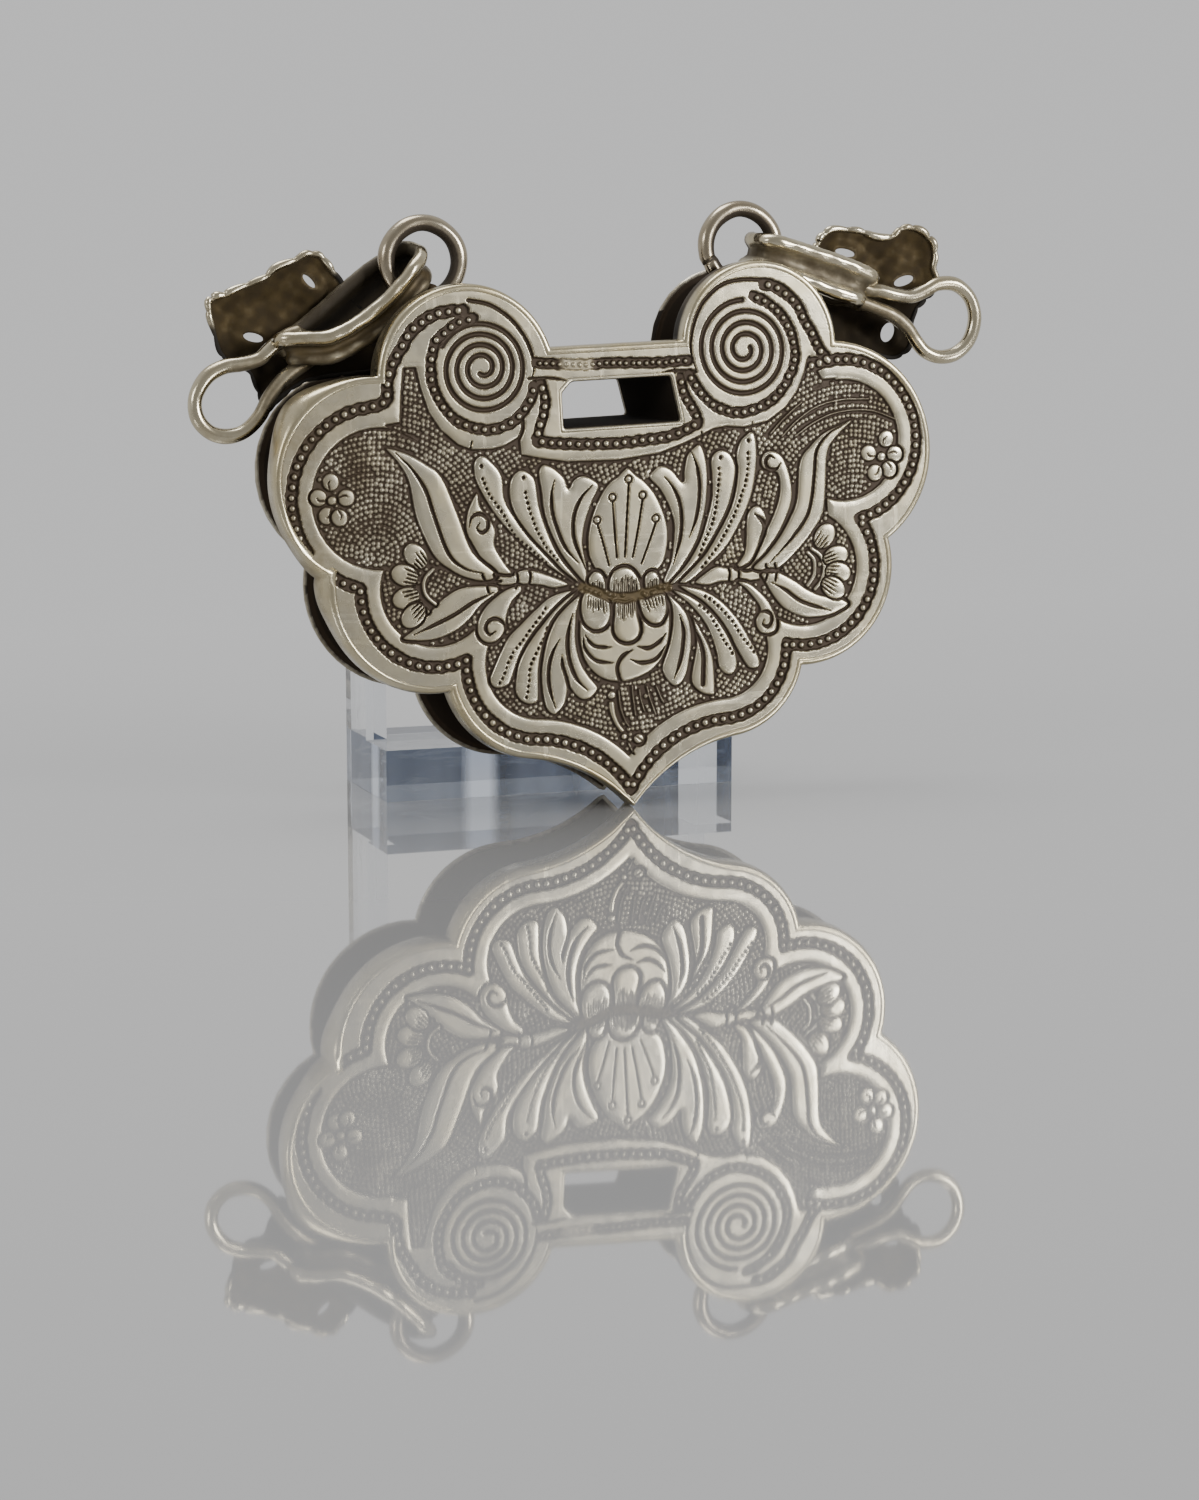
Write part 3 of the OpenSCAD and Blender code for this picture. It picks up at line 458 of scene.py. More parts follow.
# Fans of the two sprays: two ridges, and four petals round the foot
for foot, ridges, tips in (
        ((-21.4, 26.3), ([[-23, 29.2], [-24.2, 28.3], [-24.6, 26.8], [-24.1, 25], [-23.2, 23.7]],
                         [[-22.3, 28.3], [-23.2, 27.5], [-23.5, 26.5], [-23.2, 25.4], [-22.3, 24.5]]),
         ((-24.2, 29.9), (-25.6, 27.9), (-25.6, 25.4), (-24.9, 23.4))),
        ((21.8, 25), ([[23, 27.2], [24.1, 26.3], [24.5, 25], [24.1, 23.5], [23.2, 22.5]],
                      [[22.5, 26.8], [23.2, 26], [23.3, 25], [23.1, 24], [22.3, 23]]),
         ((24.7, 28.5), (26, 26.1), (26.2, 24.2), (25.5, 22.5)))):
    for points in ridges:
        ridge(points, 0.27, 0.36)
    for tip in tips:
        lay = math.atan2(tip[1] - foot[1], tip[0] - foot[0])
        raise_shape(ellipse(tip, 1.62, 1.22, math.degrees(lay)), 0.18, 0.2)
        out = np.array([math.cos(lay), math.sin(lay)])
        side = np.array([-out[1], out[0]])
        start, end = tip - 1.4 * out, tip + 1.2 * out
        hatch([start - 0.75 * side, start + 0.75 * side], [end - 1.1 * side, end + 1.1 * side], 4, 0.36)
# Small flowers in the outer fields
for middle, petals in (((-33.2, 36.6), ((-33.2, 38.6), (-34.7, 37.0), (-31.6, 36.8), (-33.9, 35.0), (-32.5, 34.7))),
                       ((32.3, 37.1), ((33.0, 39.1), (30.7, 37.6), (34.0, 37.3), (33.2, 35.6), (31.4, 35.3)))):
    for cx, cz in petals:
        lay = math.atan2(cz - middle[1], cx - middle[0])
        raise_shape(ellipse((cx, cz), 1.02, 0.98, math.degrees(lay)), 0.2, 0.22, 0.38)
        k, s = 0.5 * math.cos(lay), 0.5 * math.sin(lay)
        cut_line([[cx - 1.9 * k - 0.3 * s, cz - 1.9 * s + 0.3 * k], [cx - 0.3 * k - 0.6 * s, cz - 0.3 * s + 0.6 * k],
                  [cx + 0.5 * k, cz + 0.5 * s]], 0.12, 0.3)
    raise_shape(ellipse(middle, 0.6, 0.55, 20), 0.25, 0.2)

# Flower: the dirt-filled seam of the calyx, its petals and their strokes
seam = [[-5.0, 24.9], [-3.5, 24.4], [-2.3, 23.8], [-1, 23.45], [0.2, 23.35], [1.1, 23.4], [2.2, 23.7], [3.4, 23.95],
        [5.2, 24.2]]
cut_line(seam, 0.5, 0.34)
for shape in CALYX:
    raise_shape(shape, 0.35, 0.36)
cut_line(seam, 0.36)
seam_d, _ = line_distance(smooth_line(seam), 0.8)
brown_map = np.maximum(brown_map, rise((0.75 - seam_d) / 0.4))
for start, end, count in ((([-4.6, 24.0], [-2.3, 23.1]), ([-4.9, 21.4], [-2.2, 21.2]), 8),
                          (([-1.1, 22.9], [1.1, 22.9]), ([-1.2, 19.6], [1.1, 19.6]), 9),
                          (([1.7, 22.9], [4.5, 23.3]), ([2.4, 20.9], [4.7, 21.3]), 7),
                          (([-4.0, 25.0], [-2.6, 24.7]), ([-4.0, 26.2], [-2.7, 26.1]), 5),
                          (([-1.5, 24.1], [1.5, 24.1]), ([-1.3, 26.6], [1.3, 26.6]), 12),
                          (([2.6, 24.3], [3.9, 24.4]), ([2.7, 25.9], [3.9, 25.9]), 5)):
    hatch(start, end, count)

# Grooves by half width, and by whether the start and the end narrow: veins, curls, rims of the knobs, the slot's frame
GROOVES = {
    (0.2, 1, 1): [
        [[-7.7, 37.1], [-8.1, 35.5], [-8.1, 33.5], [-7.6, 31.5], [-6.8, 29.5], [-5.4, 27.7]],
        [[-3.3, 36.2], [-4.6, 35], [-5.5, 33.3], [-5.8, 31.5], [-5.6, 29.8], [-4.6, 27]],
        [[5.4, 36.6], [6.4, 35.3], [7.1, 33.5], [7.2, 31.5], [6.9, 29.5], [5.9, 26.7]],
        [[8.8, 39.2], [9.4, 37.5], [9.6, 35.5], [9.4, 33.4], [8.9, 31.5], [8, 29.6]],
        [[-8.2, 19.35], [-9, 18.1], [-9.5, 16.7], [-9.7, 15.1], [-9.55, 13.55], [-9.1, 11.75]],
        [[0.15, 16.4], [1.05, 16], [2.1, 15.9], [3.2, 16.2], [4, 17], [4.4, 17.6]],
        [[1.05, 17.8], [2.4, 17.5], [3.7, 18.1], [4.5, 18.95]],
        [[-17.9, 32.6], [-17.5, 33.7], [-16.6, 34], [-15.8, 33.5], [-15.7, 32.5], [-16.4, 31.9], [-17, 32.4],
         [-16.7, 33]],
        [[-14.4, 20.7], [-14.6, 21.7], [-15.4, 22.3], [-16.3, 22.1], [-16.7, 21.3], [-16.3, 20.6], [-15.6, 20.9]],
        [[19.6, 37.2], [19, 36.5], [18.1, 36.7], [17.8, 37.5], [18.3, 38.1], [18.9, 37.8]],
        [[15.9, 20.3], [16.8, 20.5], [17.5, 20.1], [17.6, 19.3], [17.1, 18.7], [16.5, 19], [16.6, 19.6]]],
    (0.2, 1, 0): [
        [[-8, 17.6], [-7.95, 16.4], [-7.6, 15.1], [-7.35, 13.9]],
        [[-10.9, 44.4], [-11, 43], [-11.5, 41.9]]],
    (0.23, 1, 1): [
        [[-6.45, 22.1], [-6.9, 20.75], [-7.2, 19.2], [-7.2, 17.6], [-6.9, 16.05], [-6.3, 14.65], [-5.2, 13.4]]],
    (0.18, 1, 1): [
        [[-5.35, 19.4], [-5.25, 18.25], [-4.7, 17.3], [-3.8, 16.55], [-2, 16.2]]],
    (0.17, 1, 1): [
        [[-5.1, 19.6], [-4.55, 18.7], [-3.8, 18.2], [-2.05, 17.95]]],
    (0.22, 1, 0): [
        [[0.45, 17.45], [-0.8, 16.85], [-1.45, 15.75], [-1.35, 14.5], [-1, 13.8]]],
    (0.22, 1, 1): [
        [[6.35, 21], [6.75, 19.2], [6.65, 17.95], [6.35, 16.4], [5.9, 15.1], [5.25, 13.8]]],
    (0.26, 1, 0): [
        [[8.2, 19.2], [8.7, 17.6], [9, 16.05], [8.9, 14.5], [8.75, 12.8]]],
    (0.19, 1, 1): [
        [[-25.8, 41.3], [-24, 39.4], [-22.6, 37], [-21.9, 34.5], [-20.5, 30], [-18.8, 28.2], [-16.6, 27.4]],
        [[-15.6, 25.2], [-18, 24.3], [-20.5, 23], [-25, 21.3]],
        [[28, 41.2], [25.7, 40.1], [24.2, 38.4], [23.8, 36], [23.3, 33], [22.5, 30.8], [20.5, 28.5], [17.7, 26]],
        [[17.8, 23.7], [19.5, 22.7], [21.5, 21.2], [25, 19.9]]],
    (0.27, 1, 1): [
        [[16.1, 31.7], [17.2, 30.6], [17.2, 29.5], [16.4, 28.2]]],
    (0.2, 0, 0): [
        [[-11.3, 27.6], [-11.1, 26.7], [-11.4, 25.6]],
        [[-12.8, 27.5], [-12.6, 26.5], [-12.9, 25.5]],
        [[16.2, 25], [18.9, 24.9]],
        [[-17.6, 26.4], [-14.6, 26.4]]],
    (0.19, 0, 0): [
        [[12.5, 26.2], [12.7, 25.1], [12.5, 23.9]],
        [[13.6, 26.1], [13.85, 25], [13.6, 23.9]],
        [[17.2, 25.8], [17.35, 24.9], [17.1, 24]],
        [[18.3, 25.8], [18.5, 24.9], [18.3, 23.9]],
        [[-16.7, 27.2], [-16.3, 26.2], [-16.1, 25.3]],
        [[-15.4, 27.2], [-15.1, 26.2], [-14.8, 25.4]]],
    (0.26, 0, 1): [
        [[-16.4, 57.3], [-13.9, 56.65], [-11.6, 54.95], [-10.05, 52.75], [-9.4, 50.9], [-9.3, 49.5], [-9.6, 48.4]],
        [[18.5, 57.9], [15.95, 58.05], [13.45, 57.55], [11.25, 55.85], [10, 53.65], [9.4, 51.3], [9.55, 49.5],
         [10, 48]]],
    (0.17, 0, 1): [
        [[-10, 48.45], [-7.5, 48.35], [-5.4, 47.95]]],
    (0.17, 1, 0): [
        [[5.6, 48.15], [7.5, 48.3], [9.8, 48.1]]],
    (0.12, 0, 1): [
        [[7.3, 48.6], [7.25, 48], [7, 47.4]]],
    (0.1, 0, 1): [
        [[-17, 42], [-17.2, 41]],
        [[16.4, 42.1], [16.4, 41.2]],
        [[10.1, 41.4], [10.3, 40.8]]],
    # spirals of the two knobs
    (0.35, 0, 0): [
        spiral((-15.2, 49.9), 240, 30, 0.72, 46, lambda k: 0.006 * k * (1 + np.cos(np.radians(30 * k - 900)))),
        spiral((15.9, 50.05), 30, -30, 0.67, 47, lambda k: 0.22 * np.cos(np.radians(30 * k - 120)))],
}
# Strokes and rows of small dots on the pod and the petals
STAMENS = [[[-2.9, 31.9], [-2.3, 29.5], [-1.8, 27.2]], [[-0.95, 34.3], [-0.9, 31], [-0.8, 28]],
           [[1.1, 36.2], [0.6, 32], [0.15, 28]], [[2.65, 34.3], [1.9, 31], [1.1, 27.9]],
           [[4.1, 31.6], [3.1, 29.3], [2.1, 27.1]]]
DOTS = [
    [[-16.1, 38.1], [-15.3, 36], [-13.9, 33.8], [-12.6, 31.2], [-11.3, 30], [-9, 27.8]],
    [[-11.1, 36.3], [-11.1, 35.5], [-10.5, 33], [-9.7, 30.9], [-8.5, 29], [-7.7, 28]],
    [[12, 37.4], [12, 36], [11.6, 33.5], [10.9, 31], [9.9, 29.1], [9, 27.2]],
    [[15.7, 38.9], [15.5, 36.5], [14.6, 33.8], [13.2, 31], [11.3, 28.2], [9.2, 25.9]],
    [[-9.4, 23.2], [-10.1, 22.3], [-11.5, 20.75], [-12.6, 19.5], [-13.8, 18.25], [-14.5, 16.85], [-15.1, 15.6],
     [-15.65, 14.9]],
    [[-9.4, 21.05], [-9.95, 19.65], [-10.65, 18.65], [-11.3, 17.55], [-11.85, 16.4], [-12, 15.1], [-12.3, 13.6],
     [-12.6, 13]],
    [[8.6, 22], [9.6, 21.2], [10.35, 20.1], [11.05, 18.7], [11.75, 17.3], [12.3, 16.6], [12.65, 15.75]],
    [[9.3, 22.95], [10.65, 22], [11.75, 20.85], [12.8, 19.6], [13.75, 17.95], [14.65, 16.75], [15.4, 15.7]],
]
for (half, start, end), lines in GROOVES.items():
    for points in lines:
        cut_line(points, half * (1.35 if start else 1), 0.39, (start, end))
for points in STAMENS:
    cut_line(points, 0.15, 0.36, (0, 0))
for points in STAMENS:
    anther = (points[0][0], points[0][1] + 0.42)
    raise_shape(ellipse(anther, 0.42, 0.42, 0), 0.2, 0)
    cut_line(ellipse(anther, 0.42, 0.42, 0, 17), 0.13, 0.3, (0, 0))
for points in DOTS:
    dot_row(points)
for p in ([-16.05, 39.2], [-11.25, 37.6], [12.3, 38.3], [15.8, 40.0]):
    pit(p, 0.27)

# Bead rows in their channels: the border, the rows round the knobs, the bar and the slot's frame
row = outline(ROW, ROW_TIP, 0, 60)
row_x, row_z = row.T
order = np.arange(len(row))
late = (order > len(row) / 2) & (row_x < -0.6)
right_row = np.concatenate([row[(order < len(row) / 2) & (row_x > -0.6) & (row_z < 48.6)],
                            [[26.05, 48.5], [25.3, 49.5], [24.65, 50.75], [24.2, 51.85], [23.65, 52.7],
                             [23.3, 53.4], [22.95, 54.3], [22.4, 55.2], [21.45, 56.1], [20.5, 56.8], [19.6, 57.25],
                             [18.7, 57.4]]])
left_row = np.concatenate([[[-17.0, 56.2], [-18.0, 56.25], [-18.8, 56.2], [-19.95, 56.05], [-21.3, 55.55],
                            [-22.3, 54.85], [-23.25, 54.1], [-23.95, 53.05], [-24.7, 52.05], [-25.45, 50.85],
                            [-26, 49.45], [-26.25, 48.4], [-26.3, 47.2], [-27.3, 46.55]],
                           row[late & (row_z < 46.3) & (row_z > 30.9) & ((row_x < -26.6) | (row_z < 40))]])
# Columns: half width of the channel, pitch and radius of the beads, steps between the points of the line, the line
BEADS = [
    (0.6, 1.13, 0.42, 2, right_row), (0.6, 1.13, 0.42, 2, left_row), (0.6, 1.13, 0.42, 2, row[late & (row_z < 28.7)]),
    (0.52, 1.08, 0.36, 6, [
        [-15.9, 55.35], [-16.9, 55.15], [-18, 54.8], [-18.8, 54.25], [-19.6, 53.7], [-20.3, 53.1], [-20.75, 52.1],
        [-21.1, 50.7], [-21.15, 49.55], [-21, 48.3], [-20.5, 46.9], [-19.95, 45.9], [-19.25, 45], [-18.5, 44.3],
        [-17.75, 43.85], [-16.85, 43.5], [-15.75, 43.2], [-14.6, 43.1], [-13.45, 43.3], [-12.4, 43.65],
        [-11.55, 44.2], [-10.8, 44.9], [-10.2, 45.7], [-9.6, 46.7], [-9.4, 47.6]]),
    (0.52, 1.02, 0.35, 6, [
        [17.3, 56.15], [18.3, 55.7], [19.15, 55.15], [20, 54.5], [20.65, 53.75], [21.15, 53], [21.6, 52.1],
        [21.9, 51.15], [22.05, 50.2], [22.05, 49.05], [21.75, 47.9], [21.2, 46.85], [20.6, 45.95], [19.9, 45.15],
        [19.05, 44.45], [18.05, 43.9], [16.85, 43.5], [15.25, 43.2], [13.8, 43.35], [12.6, 43.8], [11.6, 44.4],
        [10.75, 45.2], [10.05, 46.1], [9.45, 47.1], [9.05, 47.8]]),
    (0.5, 0.8, 0.29, 6, [[9.1, 49.4], [5, 49.35], [0, 49.62], [-3, 49.6], [-6, 49.8], [-9, 50.1]]),
    (0.5, 1.02, 0.42, 6, [
        [-8.5, 47.8], [-8.3, 46.75], [-8.2, 45.7], [-8.4, 44.7], [-8.75, 43.7], [-9.1, 42.8], [-9.45, 41.9]]),
    (0.55, 1.08, 0.38, 6, [
        [-9.4, 41.5], [-8.5, 41.35], [-6.5, 41.05], [-3.3, 40.8], [-1.2, 40.73], [0.95, 40.7], [3.3, 40.83],
        [5.6, 40.98], [6.8, 41.2], [7.8, 41.5], [8.9, 41.9], [9.85, 42.4]]),
    (0.52, 1.08, 0.36, 6, [[9.8, 42.7], [9.55, 43.4], [9.05, 44.35], [8.45, 45.4], [8.1, 46.4], [7.95, 47.5]]),
]
for half, _, _, step, points in BEADS:
    channel(smooth_line(points, step=step), half)
# The bar's row is worn nearly level on the left
worn = rise((X + 6.9) / 1.2) * rise((-1.6 - X) / 1.3) * ((Z > 49.0) & (Z < 50.6) & (height < 0.26))
height[:] = np.where(worn > 0, np.maximum(height, 0.2 * worn), height)
for _, pitch, r, step, points in BEADS:
    bead_row(smooth_line(points, step=step), pitch, r)

# Foot of the flower: small ball with a stroke, ring, and lines between rows of small dots
raise_shape(ellipse((0.65, 7.35), 0.68, 0.62, 0), 0.3, 0.42)
cut_line([[0.25, 7.7], [0.75, 7.3], [1.15, 6.95]], 0.12, 0.25, (0, 0))
raise_shape(ellipse((-1.1, 7.75), 0.4, 0.4, 0), 0.2, 0.22)
raise_shape([[-0.75, 7.0], [-0.45, 6.9], [-0.2, 6.2], [-0.05, 5.6], [-0.35, 6.0]], 0.12, 0.1)
for points in ([[-1.45, 13], [-1.35, 11.2], [-0.9, 9.6], [-0.5, 8.9]], [[1.05, 12.9], [1.15, 11.8], [1.5, 10.4]],
               [[1.95, 13.2], [2.3, 11.6], [2.85, 9.9]], [[3.1, 13.1], [3.5, 12], [3.85, 11.2]],
               [[0.2, 13.4], [0.25, 12], [0.4, 10]],
               [[20, 40.2], [22, 41.9], [24.5, 43.3], [27.5, 43.9], [31, 43.8]],
               [[21.6, 40.1], [24, 41.5], [27, 42.5], [31, 42.5], [34.5, 41.2]],
               [[18.6, 40.6], [20.4, 42.3], [22.6, 43.9]]):
    ridge(points, 0.13, 0.3, 0)

# Punched ground: small domes in rings round the middle of each field
RING_PITCH = 0.57
PUNCH_PITCH = 0.55
raised = height > 0.02
near = raised.copy()
for _ in range(2):
    grown = near.copy()
    grown[1:] |= near[:-1]
    grown[:-1] |= near[1:]
    grown[:, 1:] |= near[:, :-1]
    grown[:, :-1] |= near[:, 1:]
    near = grown
FIELDS = [((28.5, 30.5), lambda px, pz: (px > 3.5) & (pz > 23.5)),
          ((-28.5, 30.5), lambda px, pz: (px < 3.5) & (pz > 23.5)),
          ((0.3, 24), lambda px, pz: pz <= 23.5)]
for centre, belongs in FIELDS:
    for k in range(64):
        r = RING_PITCH * (k + 0.15)
        count = max(1, int(2 * math.pi * r / PUNCH_PITCH))
        a = 2 * math.pi * (np.arange(count) + 0.5 * (k % 2)) / count
        px = centre[0] + r * np.cos(a) + rng.normal(0, 0.045, count)
        pz = centre[1] + r * np.sin(a) + rng.normal(0, 0.045, count)
        size = rng.uniform(0.27, 0.34, count)
        tall = rng.uniform(0.2, 0.31, count)
        keep = belongs(px, pz) & (px > X0) & (px < X1) & (pz > Z0) & (pz < Z1)
        for p0, p1, s, t in zip(px[keep], pz[keep], size[keep], tall[keep]):
            j, i = int((p1 - Z0) / CELL + 0.5), int((p0 - X0) / CELL + 0.5)
            if ground[j, i] and not near[j, i]:
                dome((p0, p1), s, t, 0.7)
punched = ground & ~raised


def value_noise(scale, seed):
    """Smooth noise from -1 to 1 on the grid, in patches of about scale millimetres."""
    a, b = (np.arange(n) * CELL / scale for n in (NZ, NX))
    g = np.random.default_rng(seed).uniform(-1, 1, (int(NZ * CELL / scale) + 3, int(NX * CELL / scale) + 3))
    ia, ib = a.astype(int), b.astype(int)
    fa, fb = rise(a - ia)[:, None], rise(b - ib)[None]
    return ((g[ia][:, ib] * (1 - fb) + g[ia][:, ib + 1] * fb) * (1 - fa)
            + (g[ia + 1][:, ib] * (1 - fb) + g[ia + 1][:, ib + 1] * fb) * fa)


# Light wear and unevenness of old hand-worked sheet
wave = 0.012 * value_noise(4.0, 1) + 0.008 * value_noise(1.4, 2)
smear = rise(value_noise(3.0, 3) * 1.2 - 0.1) * np.clip(1 - np.hypot((X + 28.5) / 4, (Z - 39) / 4.5), 0, 1)
height[:] = np.where(ground & (height < 0.34), height * (1 - 0.5 * smear) + 0.12 * smear, height)
depth = np.maximum(RELIEF - height - wave * (height > 0.3), 0.004)


def add_object(name, data):
    obj = bpy.data.objects.new(name, data)
    bpy.context.scene.collection.objects.link(obj)
    return obj


def build(name, points, faces, slot, mat, oxide, brown=0.0, painted_shade=0.0, replaces=(), normals=None):
    """A piece from points of the lock's own frame. faces is an array of quads or triangles, or a list of such.

    The three tints, one number or one for each point, say where the silver is tarnished, where it is brown (dirt, and
    in some pieces painted shade) and where shade is painted in black.
    """
    verts = lock_pose(np.reshape(points, (-1, 3))) * MM
    groups = faces if isinstance(faces, list) else [faces]
    if normals is None:
        # A closed solid: its faces are turned outwards
        centre = verts.mean(0)
        volume = 0.0
        for g in groups:
            p = verts[g] - centre
            for k in range(1, g.shape[1] - 1):
                volume += np.einsum("ij,ij->", p[:, 0], np.cross(p[:, k], p[:, k + 1]))
        if volume < 0:
            groups = [g[:, ::-1] for g in groups]
    loops = np.concatenate([g.ravel() for g in groups])
    sizes = np.concatenate([np.full(len(g), g.shape[1]) for g in groups])
    me = bpy.data.meshes.new(name)
    me.vertices.add(len(verts))
    me.vertices.foreach_set("co", verts.astype(np.float32).ravel())
    me.loops.add(len(loops))
    me.loops.foreach_set("vertex_index", loops.astype(np.int32))
    me.polygons.add(len(sizes))
    me.polygons.foreach_set("loop_start", np.concatenate([[0], np.cumsum(sizes)[:-1]]).astype(np.int32))
    me.update(calc_edges=True)
    me.validate()
    me.polygons.foreach_set("use_smooth", np.ones(len(me.polygons), bool))
    # Each point's tarnish, brown and painted shade, kept in one colour attribute
    wear_and_shade = np.ones((len(verts), 4), np.float32)
    for k, amount in enumerate((oxide, brown, painted_shade)):
        wear_and_shade[:, k] = np.clip(np.ravel(amount), 0, 1)
    me.color_attributes.new("wear_and_shade", "FLOAT_COLOR", "POINT").data.foreach_set("color", wear_and_shade.ravel())
    if normals is not None:
        me.normals_split_custom_set_from_vertices(np.asarray(normals, np.float32))
    me.materials.append(mat)
    obj = add_object(name, me)
    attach(obj, "root")
    if replaces:
        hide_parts(*replaces)


def grid_faces(rows, cols, closed_rows=False):
    """Quads between neighbouring closed rings of points."""
    i, j = np.meshgrid(np.arange(rows if closed_rows else rows - 1), np.arange(cols), indexing="ij")
    i2, j2 = (i + 1) % rows, (j + 1) % cols
    return np.stack([i * cols + j, i * cols + j2, i2 * cols + j2, i2 * cols + j], -1).reshape(-1, 4)


def strip(rings):
    """Points and faces of rings that follow each other and close on the first one."""
    return rings, grid_faces(*rings.shape[:2], closed_rows=True)


class Nodes:
    """Short form for building a material's node tree."""

    def __init__(self, name):
        self.mat = bpy.data.materials.new(name)
        self.mat.use_nodes = True
        self.tree = self.mat.node_tree
        self.tree.nodes.clear()
        self.out = self.tree.nodes.new("ShaderNodeOutputMaterial")
        self.coord = self.tree.nodes.new("ShaderNodeTexCoord").outputs["Object"]

    def node(self, kind, inputs=None, **settings):
        n = self.tree.nodes.new(kind)
        for k, v in settings.items():
            setattr(n, k, v)
        for k, v in (inputs or {}).items():
            if isinstance(v, bpy.types.NodeSocket):
                self.tree.links.new(v, n.inputs[k])
            else:
                n.inputs[k].default_value = v
        return n

    def noise(self, scale, detail=3.0, rough=0.55, stretch=None, distortion=0.0):
        source = self.coord
        if stretch:
            source = self.node("ShaderNodeMapping", {"Vector": source, "Scale": stretch}).outputs[0]
        return self.node("ShaderNodeTexNoise", {"Vector": source, "Scale": scale, "Detail": detail,
                                                "Roughness": rough, "Distortion": distortion}).outputs["Fac"]

    def ramp(self, value, lo, hi, a=0.0, b=1.0):
        return self.node("ShaderNodeMapRange", {"Value": value, "From Min": lo, "From Max": hi,
                                                "To Min": a, "To Max": b}).outputs[0]

    def math(self, op, a, b=0.0, clamp=False):
        return self.node("ShaderNodeMath", {0: a, 1: b}, operation=op, use_clamp=clamp).outputs[0]

    def plus(self, a, b, share, clamp=False):
        """a plus a share of b."""
        return self.math("ADD", a, self.math("MULTIPLY", b, share), clamp)

    def mix(self, fac, a, b):
        """Colour between a and b. 0, 6 and 7 are the mix node's inputs for the factor and the two colours."""
        a, b = (v if isinstance(v, bpy.types.NodeSocket) else (*v, 1.0) for v in (a, b))
        return self.node("ShaderNodeMix", {0: fac, 6: a, 7: b}, data_type="RGBA").outputs[2]

    def bump(self, value, distance, strength, normal=None):
        inputs = {"Height": value, "Distance": distance, "Strength": strength}
        if normal is not None:
            inputs["Normal"] = normal
        return self.node("ShaderNodeBump", inputs).outputs[0]

    def finish(self, shader):
        self.tree.links.new(shader.outputs[0], self.out.inputs["Surface"])
        return self.mat


SILVER = (0.68, 0.625, 0.48)
SILVER_WARM = (0.505, 0.44, 0.29)
TARNISH_AND_SHADE = (0.050, 0.032, 0.018)
DIRT_AND_SHADE = (0.10, 0.070, 0.028)
# Black of painted shade
SHADE_BLACK = (0.014, 0.011, 0.008)


def silver(name, light=SILVER, warm=SILVER_WARM, dark=TARNISH_AND_SHADE, rough=0.24, tarnish=0.0, scratches=0.5, specular=0.5):
    """Old silver: bright on the high places, brown to black in the low ones, with fine scratches, and painted black as
    shade where a piece lies in shadow.
    """
    n = Nodes(name)
    wear_and_shade = n.node("ShaderNodeAttribute", attribute_name="wear_and_shade")
    oxide, brown, painted_shade = n.node("ShaderNodeSeparateColor", {"Color": wear_and_shade.outputs["Color"]}).outputs
    large = n.noise(160, 4, 0.6)
    fine = n.noise(1500, 3, 0.6)
    streak = n.noise(900, 2, 0.5, stretch=(1, 1, 0.08), distortion=0.4)
    cross = n.noise(1100, 2, 0.5, stretch=(0.07, 1, 1), distortion=0.6)
    oxide = n.plus(oxide, n.math("SUBTRACT", fine, 0.5), 0.28)
    oxide = n.plus(oxide, n.ramp(large, 0.42, 0.72), 0.12 + tarnish, True)
    oxide = n.ramp(oxide, 0.16, 0.78)
    bright = n.mix(n.ramp(large, 0.35, 0.7), light, warm)
    bright = n.mix(n.math("MULTIPLY", n.ramp(fine, 0.3, 0.75), 0.25), bright, warm)
    color = n.mix(oxide, bright, dark)
    color = n.mix(n.math("MULTIPLY", brown, n.ramp(fine, 0.2, 0.6, 0.65, 1.0)), color, DIRT_AND_SHADE)
    # Painted shade: the third tint turns the silver black where a piece lies in shadow
    color = n.mix(painted_shade, color, SHADE_BLACK)
    lines = n.ramp(n.math("MAXIMUM", streak, cross), 0.60, 0.72)
    roughness = n.plus(n.ramp(large, 0.3, 0.7, rough - 0.05, rough + 0.1), oxide, 0.3)
    roughness = n.plus(roughness, lines, 0.12 * scratches, True)
    roughness = n.plus(roughness, painted_shade, 0.4, True)
    metal = n.ramp(n.math("MAXIMUM", oxide, brown), 0.0, 1.0, 1.0, 0.4)
    metal = n.math("MULTIPLY", metal, n.math("SUBTRACT", 1.0, painted_shade))
    surface = n.plus(n.math("MULTIPLY", fine, 0.6), lines, -0.8 * scratches)
    normal = n.bump(surface, 0.000012, 0.6, n.bump(n.noise(420, 3, 0.5), 0.00003, 0.5))
    return n.finish(n.node("ShaderNodeBsdfPrincipled", {"Base Color": color, "Metallic": metal, "Roughness": roughness,
                                                        "Specular IOR Level": specular, "Normal": normal}))


front_silver = silver("front_silver")
rim_silver = silver("rim_silver", (0.66, 0.595, 0.43), (0.50, 0.42, 0.25), rough=0.2, scratches=0.8)
# Darker silver for the wall, the eyes and the slot's sleeve: painted shade, for metal that lies in shadow between the
# plates
wall_silver_in_shade = silver("wall_silver_in_shade", (0.36, 0.33, 0.27), (0.20, 0.17, 0.12), rough=0.34, tarnish=0.5, specular=0.15)
wire_silver = silver("wire_silver", (0.56, 0.495, 0.375), (0.33, 0.27, 0.185), (0.05, 0.036, 0.024), rough=0.17,
                     tarnish=0.15)
strap_silver = silver("strap_silver", (0.66, 0.60, 0.45), (0.43, 0.36, 0.23), (0.04, 0.03, 0.015), rough=0.18,
                      tarnish=0.12)
